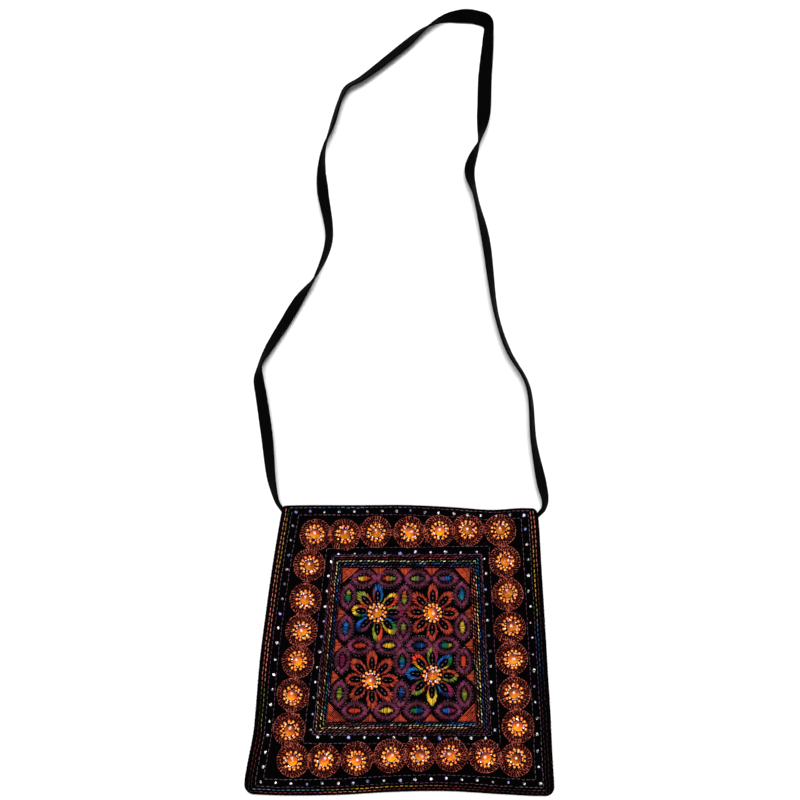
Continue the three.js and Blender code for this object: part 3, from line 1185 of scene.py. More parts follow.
@dataclass
class Border:
    """Lines of running stitches and the two tracks of crystals round the border."""

    FAINT = (Thread.GREY_MAUVE, Thread.MAUVE, Thread.GREY_MAUVE)
    WEAK = Yarn(0.34 * MM, 0.2 * MM, 0.3)
    STRONG = Yarn(0.4 * MM, 0.26 * MM, 0.3)
    form: PouchForm
    material: Material
    inner_track: PanelFrame
    pitch: float = 4.0 * MM
    dash: float = 2.9 * MM
    wander: float = 0.14 * MM
    outer_track: tuple = (12.7 * MM, 11.9 * MM, 9.9 * MM, 5.1 * MM)
    track_lines: tuple = (-2.2 * MM, 4.5 * MM)
    crystal_pitch: float = 12.4 * MM

    def rows(self) -> list[StitchRow]:
        """List the lines from the edge inwards.

        Returns:
            The lines.
        """
        t = Thread
        plain = {side: self.FAINT for side in Side}
        edge = {
            Side.LEFT: (t.BARK, t.CORD, t.BARK, t.CORD_LIGHT, *[t.SALMON] * 4),
            Side.RIGHT: (*[t.BARK] * 5, t.CORD, t.SALMON, t.SALMON),
            Side.FOOT: (t.CORD, t.CORD, t.CORD_LIGHT, t.CORD, t.CORD, t.BARK, t.BARK),
        }
        dyed = {
            Side.LEFT: (t.BARK, t.CORD, t.CORD, t.OLIVE, t.OLIVE, *[t.SALMON] * 4, *[t.YELLOW] * 3,
                        t.GREEN),
            Side.RIGHT: (*[t.BARK] * 4, t.NAVY, t.BLUE, t.BLUE, t.OLIVE, t.YELLOW, t.YELLOW, t.SALMON,
                         t.SALMON),
            Side.FOOT: (*[t.PALE_BLUE] * 3, t.OLIVE, t.YELLOW, t.YELLOW, t.CORD_LIGHT, t.CORD, t.CORD,
                        t.BARK, t.GREY_MAUVE),
            Side.MOUTH: (t.GREY_MAUVE, t.GREY_MAUVE, t.BLUE, t.PALE_BLUE, t.MAUVE, t.GREY_MAUVE, t.MAUVE,
                         t.MAUVE, t.GREY_MAUVE, t.MAUVE, t.MAUVE, t.GREY_MAUVE),
        }
        return [
            StitchRow((3.4 * MM, 3.6 * MM, 2.0 * MM, None), 1.2 * MM, self.STRONG, edge),
            StitchRow((5.9 * MM, 6.3 * MM, 4.2 * MM, 1.7 * MM), 1.7 * MM, self.STRONG, dyed),
            StitchRow((9.0 * MM, 8.7 * MM, 6.7 * MM, None), 4.2 * MM, self.WEAK, plain),
            StitchRow((15.2 * MM, 15.0 * MM, 13.0 * MM, 7.9 * MM), 7.9 * MM, self.WEAK, plain),
        ]

    def build(self) -> None:
        """Sew the lines."""
        work = Needlework(self.form, 11)
        for row in self.rows():
            for side, line in self._lines(row.insets, row.stop).items():
                self._sew(work, line, row.yarn, row.colours[side])
        for outset in self.track_lines:
            for line in self.inner_track.sides([outset] * len(Side)).values():
                self._sew(work, line, self.WEAK, self.FAINT)
        work.piece("border_stitches", self.material)

    def _sew(self, work: Needlework, line: Points, yarn: Yarn, threads: Threads) -> None:
        """Sew one line of running stitches.

        Args:
            work: Where the stitches go.
            line: The line to follow.
            yarn: How the thread lies.
            threads: Colours along the line.
        """
        places, headings, shares = walk(line, self.pitch)
        places = work.jitter(places, self.wander)
        half = headings * self.dash / 2
        work.add(places - half, places + half, yarn, blended(threads, shares))

    def _lines(self, insets: Sequence[Optional[float]], stop: float) -> dict[Side, Points]:
        """Draw the sides of one row as lines that meet at its corners.

        Args:
            insets: Its insets, with None for the mouth where the row has no line there.
            stop: Distance from the mouth at which the side lines stop.

        Returns:
            A line for each side that has one.
        """
        left, right, foot, mouth = insets
        lines = {
            Side.LEFT: self.form.inset_line(Side.LEFT, left, foot, stop),
            Side.RIGHT: self.form.inset_line(Side.RIGHT, right, foot, stop),
            Side.FOOT: self.form.inset_line(Side.FOOT, foot, left, right),
        }
        if mouth is not None:
            lines[Side.MOUTH] = self.form.inset_line(Side.MOUTH, mouth, left, right)
        return lines

    def crystal_places(self) -> Points:
        """Space the crystals on both tracks.

        Returns:
            Their flat places.
        """
        outer = self._lines(self.outer_track, self.outer_track[-1])
        inner = self.inner_track.sides([0.0] * len(Side))
        phases = {Side.MOUTH: 0.0, Side.LEFT: 0.0, Side.FOOT: 1.0, Side.RIGHT: 1.0}
        found = [walk(line, self.crystal_pitch, phases[side])[0] for side, line in outer.items()]
        found.extend(walk(line, self.crystal_pitch)[0] for line in inner.values())
        return np.concatenate(found)


@dataclass(frozen=True)
class CordRound:
    """One round of a medallion: stitches between two radii, each turned by a share of its pitch."""

    low: float
    high: float
    count: int
    turn: float
    width: float
    threads: Threads


@dataclass
class Medallions:
    """The corded rings round the border's centre beads, with crossing stitches where neighbours meet."""

    form: PouchForm
    material: Material
    centres: Points
    crown: float = 0.4 * MM
    wander: float = 0.6 * MM
    turn_spread: float = 0.015
    radius_spread: float = 0.1 * MM
    shade: float = 0.36
    link_reach: float = 30 * MM
    link_count: int = 14
    link_yarn: Yarn = Yarn(0.6 * MM, 0.48 * MM, 0.24)
    link_spread: tuple = (1.2 * MM, 2.6 * MM)
    link_half: float = 1.1 * MM

    def rounds(self) -> list[CordRound]:
        """List the rounds of one ring.

        Returns:
            The rounds from the outside inwards.
        """
        bright = (Thread.CORD_LIGHT, Thread.CORD_LIGHT, Thread.CORD)
        middle = (Thread.CORD, Thread.CORD_LIGHT, Thread.CORD, Thread.CORD_DEEP)
        return [
            CordRound(13.0 * MM, 13.0 * MM, 36, 0.78, 0.5 * MM, bright),
            CordRound(10.9 * MM, 12.7 * MM, 34, 0.3, 0.42 * MM, bright),
            CordRound(10.5 * MM, 10.5 * MM, 32, 0.78, 0.46 * MM, middle),
            CordRound(9.0 * MM, 10.2 * MM, 34, 0.5, 0.7 * MM, middle),
            CordRound(7.4 * MM, 8.6 * MM, 29, -0.4, 0.78 * MM, middle),
        ]

    def build(self) -> None:
        """Sew every ring and the links between neighbours."""
        work = Needlework(self.form, 23)
        for index, centre in enumerate(self.centres):
            middle = work.jitter(centre, self.wander)
            for cord in self.rounds():
                self._round(work, middle, cord)
            self._links(work, centre, self.centres[index + 1:])
        work.piece("medallion_cords", self.material)

    def _round(self, work: Needlework, centre: Points, cord: CordRound) -> None:
        """Sew one round.

        Args:
            work: Where the stitches go.
            centre: The middle of the ring.
            cord: The round to sew.
        """
        pitch = 2 * math.pi / cord.count
        turns = work.chance.uniform(0, pitch) + np.arange(cord.count) * pitch
        turns = turns + work.chance.normal(0, self.turn_spread, cord.count)
        spread = work.chance.normal(0, self.radius_spread, (2, cord.count))
        radii = spread + np.array([[cord.low], [cord.high]])
        half = cord.turn * pitch / 2
        starts = centre + polar(radii[0], turns - half)
        ends = centre + polar(radii[1], turns + half)
        dyes = work.pick(cord.threads, cord.count)
        work.add(starts, ends, Yarn(cord.width, self.crown, self.shade), dyes)

    def _links(self, work: Needlework, centre: Points, others: Points) -> None:
        """Sew crossing stitches where a ring meets its neighbours.

        Args:
            work: Where the stitches go.
            centre: The middle of the ring.
            others: The middles of the rings to meet.
        """
        count = self.link_count
        for other in others:
            gap = other - centre
            distance = float(np.linalg.norm(gap))
            if distance > self.link_reach:
                continue
            heading = gap / distance
            spots = (centre + other) / 2
            for spread, way in zip(self.link_spread, (heading, np.array([-heading[1], heading[0]]))):
                spots = spots + work.chance.normal(0, spread, (count, 1)) * way
            half = polar(self.link_half, work.chance.uniform(0, math.pi, count))
            dyes = work.pick((Thread.CORD_LIGHT, Thread.CORD, Thread.CORD), count)
            work.add(spots - half, spots + half, self.link_yarn, dyes)


@dataclass(frozen=True)
class RopeRow:
    """One corded row of the frame, by its outsets from the panel's left, right, foot and mouth."""

    outsets: tuple
    width: float
    colours: dict[Side, Threads]


@dataclass
class BraidFrame:
    """The frame of corded rows round the middle panel."""

    form: PouchForm
    material: Material
    panel: PanelFrame
    pitch: float = 3.0 * MM
    stroke: float = 2.1 * MM
    crown: float = 0.34 * MM
    slant: float = 0.32 * MM
    wander: float = 0.2 * MM
    dye_drift: float = 0.08
    brightness: tuple = (0.1, 1.9)
    shade: float = 0.3

    def rows(self) -> list[RopeRow]:
        """List the rows from the panel outwards.

        Returns:
            The rows.
        """
        t = Thread
        rust = (t.CORD, t.RUST_DEEP, t.CORD, t.CORD_LIGHT, t.CORD_DEEP)
        dusk = (t.MAUVE, t.GREY_MAUVE, t.PLUM, t.MAUVE)
        return [
            RopeRow((1.0 * MM, 1.0 * MM, 1.2 * MM, 1.5 * MM), 0.42 * MM, {
                Side.LEFT: dusk, Side.RIGHT: (t.CORD, t.GREY_MAUVE, t.CORD_LIGHT, t.MAUVE),
                Side.FOOT: (t.PLUM, t.PLUM, t.NAVY, t.BLUE, t.NAVY, t.BLUE), Side.MOUTH: dusk}),
            RopeRow((2.8 * MM, 2.9 * MM, 2.8 * MM, 3.6 * MM), 0.66 * MM, {
                Side.LEFT: (t.OLIVE, t.TEAL, t.BLUE, t.NAVY, t.BLUE, t.NAVY, t.BLUE, t.PALE_BLUE),
                Side.RIGHT: (t.CORD_LIGHT, t.CREAM, t.CORD, t.SALMON, t.CORD),
                Side.FOOT: (t.GREY_MAUVE, t.MAUVE, t.GREY_MAUVE, t.CREAM, t.CREAM, t.PALE_BLUE,
                            t.PALE_BLUE),
                Side.MOUTH: (t.PALE_BLUE, t.BLUE, t.NAVY, t.BLUE, t.NAVY, t.PALE_BLUE, t.BLUE, t.NAVY,
                             t.TEAL)}),
            RopeRow((5.1 * MM, 5.0 * MM, 4.6 * MM, 5.7 * MM), 0.66 * MM, {
                Side.LEFT: (t.CREAM, t.CORD_LIGHT, t.CREAM, t.CREAM, t.CORD_LIGHT, t.CREAM, t.CREAM),
                Side.RIGHT: (t.CREAM, t.CREAM, t.YELLOW, t.CREAM, t.YELLOW, t.CREAM, t.TEAL),
                Side.FOOT: (t.CREAM, t.CREAM, t.CORD_LIGHT, t.CORD, t.CORD_LIGHT, t.CREAM, t.CORD),
                Side.MOUTH: (*[t.CREAM] * 4, t.OLIVE, t.CREAM)}),
            RopeRow((7.0 * MM, 6.9 * MM, 6.1 * MM, 8.0 * MM), 0.5 * MM, {
                Side.LEFT: rust, Side.RIGHT: (t.BLUE, t.NAVY, t.BLUE, t.NAVY, t.BLUE, t.TEAL),
                Side.FOOT: rust, Side.MOUTH: rust}),
            RopeRow((8.7 * MM, 8.9 * MM, 7.6 * MM, 9.7 * MM), 0.44 * MM, {
                Side.LEFT: (t.CREAM, t.CORD, t.GREY_MAUVE, t.CORD, t.MAUVE), Side.RIGHT: dusk,
                Side.FOOT: (t.CREAM, t.GREY_MAUVE, t.CORD, t.CORD, t.BARK, t.CORD), Side.MOUTH: dusk}),
            RopeRow((10.2 * MM, 10.6 * MM, 9.2 * MM, 11.2 * MM), 0.36 * MM,
                    {side: dusk for side in Side}),
        ]

    def build(self) -> None:
        """Sew the rows."""
        work = Needlework(self.form, 31)
        for row in self.rows():
            for side, line in self.panel.sides(row.outsets).items():
                self._rope(work, line, row, row.colours[side])
        work.piece("braid_frame", self.material)

    def _rope(self, work: Needlework, line: Points, row: RopeRow, threads: Threads) -> None:
        """Sew one side of a row in slanted strokes.

        Args:
            work: Where the strokes go.
            line: The line to follow.
            row: The row that it belongs to.
            threads: Colours along the line.
        """
        places, headings, shares = walk(line, self.pitch)
        places = work.jitter(places, self.wander)
        half = headings * self.stroke / 2 + turned_left(headings) * self.slant
        drift = work.chance.normal(0, self.dye_drift, len(shares))
        dyes = blended(threads, np.clip(shares + drift, 0, 1))
        dyes = np.clip(dyes * work.chance.uniform(*self.brightness, (len(shares), 1)), 0, 1)
        work.add(places - half, places + half, Yarn(row.width, self.crown, self.shade), dyes)


@dataclass(frozen=True)
class Eye:
    """One plum eye: its shares across and up the panel, whether it lies, and its seed's thread."""

    across: float
    up: float
    lies: bool
    threads: Threads


@dataclass
class FlowerPanel:
    """The middle panel: satin flowers, plum eyes with satin seeds, rust fills and contour dashes."""

    form: PouchForm
    material: Material
    panel: PanelFrame
    flower_centres: Points
    satin_pitch: float = 1.0 * MM
    satin_fray: float = 0.32 * MM
    ring_pitch: float = 0.86 * MM
    ring_fray: float = 0.14 * MM
    satin: Yarn = Yarn(0.7 * MM, 0.5 * MM, 0.5)
    root_fray: float = 0.16 * MM
    petal_base: float = 9.2 * MM
    petal_turn: float = 0.03
    petal_stretch: float = 0.02
    petal_shape: tuple = (0.66, 0.5)
    petal_blunt: tuple = (0.72, 0.5)
    petal_tips: tuple = (22.2 * MM, 22.6 * MM, 24.0 * MM, 22.6 * MM)
    petal_halves: tuple = (5.0 * MM, 4.7 * MM, 4.2 * MM, 4.7 * MM)
    hole_tip: float = 18.6 * MM
    hole_half: float = 2.7 * MM
    hole_shape: tuple = (0.7, 0.4, 0.7)
    leaf_points: int = 60
    collar: float = 9.0 * MM
    collar_points: int = 90
    lying_columns: tuple = ((0.175, 0.367, 0.588, 0.805), (0.183, 0.391, 0.612, 0.809),
                            (0.18, 0.395, 0.602, 0.82))
    lying_rows: tuple = (0.93, 0.489, 0.071)
    standing_columns: tuple = (0.065, 0.492, 0.929)
    standing_rows: tuple = ((0.812, 0.605, 0.395, 0.18), (0.803, 0.595, 0.385, 0.177),
                            (0.825, 0.608, 0.386, 0.174))
    lying_half: tuple = (11.0 * MM, 7.2 * MM)
    standing_half: tuple = (10.8 * MM, 6.7 * MM)
    eye_band: tuple = (3.7 * MM, 2.7 * MM)
    seed_half: tuple = (5.1 * MM, 2.2 * MM)
    seed_power: float = 0.7
    seed_least: float = 0.02
    seed_fray: float = 0.22 * MM
    seed_slant: float = 0.15 * MM
    dash: Yarn = Yarn(0.34 * MM, 0.2 * MM, 0.3)
    dash_wander: float = 0.2 * MM
    dash_clearance: float = 0.8 * MM
    eye_dashes: tuple = (2.4 * MM, 1.1 * MM)
    collar_dashes: tuple = (2.1 * MM, 1.3 * MM)
    petal_dashes: tuple = (2.6 * MM, 6.4 * MM)
    petal_dash: Yarn = Yarn(0.34 * MM, 0.25 * MM, 0.25)
    petal_dash_half: float = 1.0 * MM
    corner_legs: dict = field(default_factory=lambda: {
        (0, 0): (16.6 * MM, 16.0 * MM), (1, 0): (15.4 * MM, 16.0 * MM),
        (0, 1): (13.9 * MM, 12.6 * MM), (1, 1): (13.0 * MM, 13.8 * MM)})
    corner_start: float = 0.04
    corner_depth: float = 10 * MM
    corner_bands: tuple = ((0.0, 0.36), (0.32, 0.68), (0.64, 1.0))
    corner_wander: float = 0.03
    fill: Yarn = Yarn(0.7 * MM, 0.4 * MM, 0.5)
    triangle: tuple = (5.8 * MM, 6.6 * MM)
    triangle_fray: float = 0.2 * MM
    triangle_least: float = 0.5 * MM
    edge_gaps: tuple = (0.285, 0.49, 0.7)

    def build(self) -> None:
        """Sew every part of the panel."""
        fills = Needlework(self.form, 43)
        self._eyes(fills)
        self._petals()
        self._fills(fills)

    def eyes(self) -> list[Eye]:
        """List the eyes.

        Returns:
            The lying eyes by rows, then the standing ones by columns.
        """
        t = Thread
        lying = (
            ((t.YELLOW, t.RED_ORANGE), (t.RED_ORANGE, t.OLIVE), (t.OLIVE, t.MAUVE), (t.MAUVE, t.BLUE)),
            ((t.RED_ORANGE,), (t.YELLOW,), (t.NAVY, t.BLUE), (t.BLUE, t.GREEN, t.YELLOW)),
            ((t.RED_ORANGE,), (t.YELLOW,), (t.GREEN, t.BLUE), (t.BLUE, t.MAGENTA)),
        )
        standing = (
            ((t.TEAL, t.GREEN, t.YELLOW), (t.BLUE,), (t.MAGENTA,), (t.OLIVE,)),
            ((t.OLIVE, t.ORANGE), (t.MAGENTA, t.OLIVE), (t.BLUE, t.GREEN), (t.NAVY, t.BLUE)),
            ((t.TEAL, t.BLUE), (t.YELLOW,), (t.RED_ORANGE,), (t.OLIVE, t.OLIVE, t.RUST)),
        )
        found = []
        for up, columns, row in zip(self.lying_rows, self.lying_columns, lying):
            for across, threads in zip(columns, row):
                found.append(Eye(across, up, True, threads))
        for across, rows, column in zip(self.standing_columns, self.standing_rows, standing):
            for up, threads in zip(rows, column):
                found.append(Eye(across, up, False, threads))
        return found

    @staticmethod
    def lens(half_long: float, half_short: float, count: int = 240) -> Points:
        """Closed pointed oval of two arcs, with its long axis across.

        Args:
            half_long: Half its length.
            half_short: Half its height.
            count: Number of points.

        Returns:
            Its points, anticlockwise, with the first repeated at the end.
        """
        turn = np.linspace(0, 2 * math.pi, count)
        x = half_long * np.cos(turn)
        bow = (half_long**2 + half_short**2) / (2 * half_short)
        arc = np.sqrt(np.maximum(bow**2 - x**2, 0)) - (bow - half_short)
        return np.stack([x, np.sign(np.sin(turn)) * arc], axis=1)

    def _eyes(self, seeds: Needlework) -> None:
        """Sew the plum rings, and the seeds and dashes in them.

        Args:
            seeds: Where the seeds' threads go.
        """
        rings = Needlework(self.form, 41)
        dashes = Needlework(self.form, 47)
        # Painted sheen and shade: the plum is lighter at each eye's tips and darker along its long
        # sides.
        ring_painted_sheen = (Thread.PLUM, Thread.PLUM_PAINTED_SHADE, Thread.PLUM, Thread.PLUM_PAINTED_SHADE, Thread.PLUM)
        for eye in self.eyes():
            axes = self.panel.axes(eye.across, eye.up)
            if not eye.lies:
                axes = np.array([axes[1], -axes[0]])
            centre = self.panel.place(eye.across, eye.up)
            outer_half = np.array(self.lying_half if eye.lies else self.standing_half)
            inner_half = outer_half - np.array(self.eye_band)
            outer = self.lens(*outer_half) @ axes + centre
            inner = self.lens(*inner_half) @ axes + centre
            self._satin(rings, inner, outer, ring_painted_sheen, self.ring_pitch, self.ring_fray)
            self._seed(seeds, centre, axes, eye.threads)
            for half in (outer_half + self.dash_clearance, inner_half - self.dash_clearance):
                self._dashes(dashes, self.lens(*half) @ axes + centre, *self.eye_dashes)
        rings.piece("plum_eyes", self.material)
        dashes.piece("contour_dashes", self.material)

    def _satin(self, work: Needlework, inner: Points, outer: Points, threads: Threads,
               pitch: float, fray: float) -> None:
        """Sew a satin band, its threads lying from one outline to another round it.

        Args:
            work: Where the threads go.
            inner: Points of the inner outline.
            outer: Points of the outer outline, one for each point of the inner one.
            threads: Colours along the band.
            pitch: Distance between threads on the outer outline.
            fray: Spread of their outer ends.
        """
        lengths = lengths_along(outer)
        at = np.linspace(0, lengths[-1], round(lengths[-1] / pitch))
        whole = np.arange(len(outer))
        index = np.interp(at, lengths, whole)
        starts, ends = (points_at(line, whole, index) for line in (inner, outer))
        work.add(work.jitter(starts, self.root_fray), work.jitter(ends, fray), self.satin,
                 blended(threads, at / lengths[-1]))

    def _seed(self, work: Needlework, centre: Points, axes: np.ndarray, threads: Threads) -> None:
        """Sew the satin seed in the middle of an eye.

        Args:
            work: Where the threads go.
            centre: The middle of the eye.
            axes: Its long and short directions.
            threads: Colours along the seed.
        """
        long, short = self.seed_half
        across = np.arange(-long, long, self.satin_pitch)
        half = short * np.clip(1 - (across / long) ** 2, self.seed_least, 1) ** self.seed_power
        count = len(across)
        top = np.stack([across, half + work.chance.normal(0, self.seed_fray, count)], axis=1)
        foot = -half + work.chance.normal(0, self.seed_fray, count)
        low = np.stack([across - self.seed_slant, foot], axis=1)
        work.add(low @ axes + centre, top @ axes + centre, self.satin,
                 blended(threads, (across + long) / (2 * long)))

    def _dashes(self, work: Needlework, line: Points, pitch: float, length: float) -> None:
        """Sew a line of tiny pale dashes.

        Args:
            work: Where the dashes go.
            line: The line to follow.
            pitch: Distance from one dash to the next.
            length: Length of a dash.
        """
        places, headings, _ = walk(line, pitch)
        places = work.jitter(places, self.dash_wander)
        half = headings * length / 2
        dyes = work.pick((Thread.PINK_GREY, Thread.MAUVE, Thread.PLUM), len(places))
        work.add(places - half, places + half, self.dash, dyes)

    def flowers(self) -> list[tuple[Threads, ...]]:
        """List the flowers, in the order of their beads.

        Returns:
            The threads of each flower's eight petals, anticlockwise from the one that points right.
        """
        t = Thread
        plain = ((t.BRICK,),) * 8
        dyed = (
            (t.NAVY, t.MAGENTA, t.OLIVE),
            (t.RED_ORANGE, t.RED_ORANGE, t.YELLOW, t.YELLOW),
            (t.TEAL, t.BLUE, t.BLUE, t.PLUM, t.PLUM),
            (t.RUST, t.OLIVE, t.RUST),
            (t.RUST, t.RUST, t.YELLOW, t.YELLOW, t.GREEN, t.BLUE),
            (t.BLUE, t.BLUE, t.NAVY, t.PLUM, t.PLUM),
            (t.OLIVE, t.OLIVE, t.RED_ORANGE, t.RUST),
            (t.YELLOW, t.YELLOW, t.GREEN, t.BLUE),
        )
        late = (
            (t.OLIVE, t.OLIVE, t.RUST, t.RUST),
            (t.YELLOW, t.GREEN, t.BLUE, t.BLUE),
            (t.MAGENTA, t.MAGENTA, t.OLIVE, t.GREEN),
            (t.RED_ORANGE, t.RED_ORANGE, t.YELLOW),
            (t.GREEN, t.BLUE, t.BLUE, t.MAGENTA),
            (t.GREEN, t.MAGENTA, t.OLIVE, t.RUST),
            (t.RUST, t.YELLOW, t.YELLOW, t.GREEN),
            (t.BLUE, t.NAVY, t.MAGENTA, t.CORD),
        )
        return [dyed, plain, plain, late]

    def _petals(self) -> None:
        """Sew the petals, each a satin loop open at its base, with dashes inside."""
        work = Needlework(self.form, 53)
        collar = polar(self.collar, np.linspace(0, 2 * math.pi, self.collar_points))
        for centre, petals in zip(self.flower_centres, self.flowers()):
            self._dashes(work, collar + centre, *self.collar_dashes)
            for eighth, threads in enumerate(petals):
                turn = eighth * math.pi / 4 + work.chance.normal(0, self.petal_turn)
                axes = np.array([[math.cos(turn), math.sin(turn)], [-math.sin(turn), math.cos(turn)]])
                kind = eighth % 4
                tip = self.petal_tips[kind] * work.chance.normal(1.0, self.petal_stretch)
                outer = self._leaf(tip, self.petal_halves[kind], *self.petal_shape,
                                   self.petal_blunt[kind % 2])
                inner = self._leaf(self.hole_tip, self.hole_half, *self.hole_shape)
                self._satin(work, inner @ axes + centre, outer @ axes + centre, threads,
                            self.satin_pitch, self.satin_fray)
                self._petal_dashes(work, centre, axes)
        work.piece("satin_petals", self.material)

    def _leaf(self, tip: float, half: float, waist: float, widest: float, blunt: float) -> Points:
        """One outline of a petal that points to the right, from its right side over the tip to its left.

        Args:
            tip: Distance of its tip from the flower's middle.
            half: Half its greatest width.
            waist: Its width at the base as a share of the greatest.
            widest: Share of the length at which it is widest.
            blunt: Power of its tip's curve: small is blunt, 1 is pointed.

        Returns:
            The outline's points.
        """
        rise = np.linspace(0, 1, self.leaf_points)
        out = self.petal_base + (tip - self.petal_base) * rise
        below = 1 - (1 - waist) * ((widest - rise) / widest) ** 2
        above = np.clip(1 - ((rise - widest) / (1 - widest)) ** 2, 0, 1) ** blunt
        aside = half * np.where(rise < widest, below, above)
        right = np.stack([out, -aside], axis=1)
        left = np.stack([out, aside], axis=1)
        return np.concatenate([right, left[-2::-1]])

    def _petal_dashes(self, work: Needlework, centre: Points, axes: np.ndarray) -> None:
        """Sew the two small dashes in line inside a petal.

        Args:
            work: Where the dashes go.
            centre: The flower's middle.
            axes: The petal's direction and the one across it.
        """
        middles = self.petal_base + np.array(self.petal_dashes)
        starts, ends = (np.stack([middles + step, np.zeros(len(middles))], axis=1) @ axes + centre
                        for step in (-self.petal_dash_half, self.petal_dash_half))
        work.add(starts, ends, self.petal_dash, Thread.PINK_GREY.linear)

    def _fills(self, work: Needlework) -> None:
        """Sew the rust corners and edge triangles, as one piece with the seeds.

        Args:
            work: Where the threads go, with the seeds' threads in it.
        """
        for across, up in self.corner_legs:
            self._corner(work, across, up)
        for gap in self.edge_gaps:
            for across, up in ((0, gap), (1, gap), (gap, 0), (gap, 1)):
                self._edge_triangle(work, across, up)
        work.piece("satin_fills", self.material)

    def _corner(self, work: Needlework, across: float, up: float) -> None:
        """Sew one corner triangle, its threads along its long side.

        Args:
            work: Where the threads go.
            across: The corner's share of the way across, 0 or 1.
            up: Its share of the way up, 0 or 1.
        """
        leg_across, leg_up = self.corner_legs[across, up]
        axes = self.panel.axes(0.5, 0.5)
        corner = self.panel.place(across, up)
        right = axes[0] * (1 if across == 0 else -1)
        ahead = axes[1] * (1 if up == 0 else -1)
        shares = np.arange(self.corner_start, 1.0, self.satin_pitch / self.corner_depth)
        starts = corner + right[None] * (shares * leg_across)[:, None]
        ends = corner + ahead[None] * (shares * leg_up)[:, None]
        for band in self.corner_bands:
            wander = work.chance.normal(0, self.corner_wander, (2, len(shares), 1))
            low_ends, high_ends = (starts + (ends - starts) * np.clip(share + drift, 0, 1)
                                   for share, drift in zip(band, wander))
            work.add(low_ends, high_ends, self.fill, Thread.RUST.linear)

    def _edge_triangle(self, work: Needlework, across: float, up: float) -> None:
        """Sew one small triangle on an edge, its threads running in from the edge.

        Args:
            work: Where the threads go.
            across: Its share of the way across.
            up: Its share of the way up.
        """
        half, deep = self.triangle
        axes = self.panel.axes(across, up)
        on_side = across in (0, 1)
        run = axes[1] if on_side else axes[0]
        inward = axes[0] * (1 - 2 * across) if on_side else axes[1] * (1 - 2 * up)
        foot = self.panel.place(across, up)
        place = np.arange(-half, half, self.satin_pitch)
        height = deep * (1 - np.abs(place) / half)
        height = height + work.chance.normal(0, self.triangle_fray, len(place))
        starts = foot + run[None] * place[:, None]
        ends = starts + inward[None] * np.maximum(height, self.triangle_least)[:, None]
        work.add(starts, ends, self.fill, Thread.RUST.linear)


@dataclass(frozen=True)
class BeadRing:
    """A ring of places round a centre bead: its radius and the spreads of their angles and radii."""

    radius: float
    drift: float
    spread: float


@dataclass(frozen=True)
class CutStone:
    """One kind of small cut stone, with the linear colours of its bright facets, which are painted
    glints and reflections, and of its other facets, which are a painted dark reflection.
    """

    name: str
    radius: float
    lift: float
    lean: float
    # Tints of the bright facets: painted glints and reflections.
    bright: tuple[Colour, ...]
    # Colour of the other facets: a painted dark reflection.
    painted_dark_facet: Colour


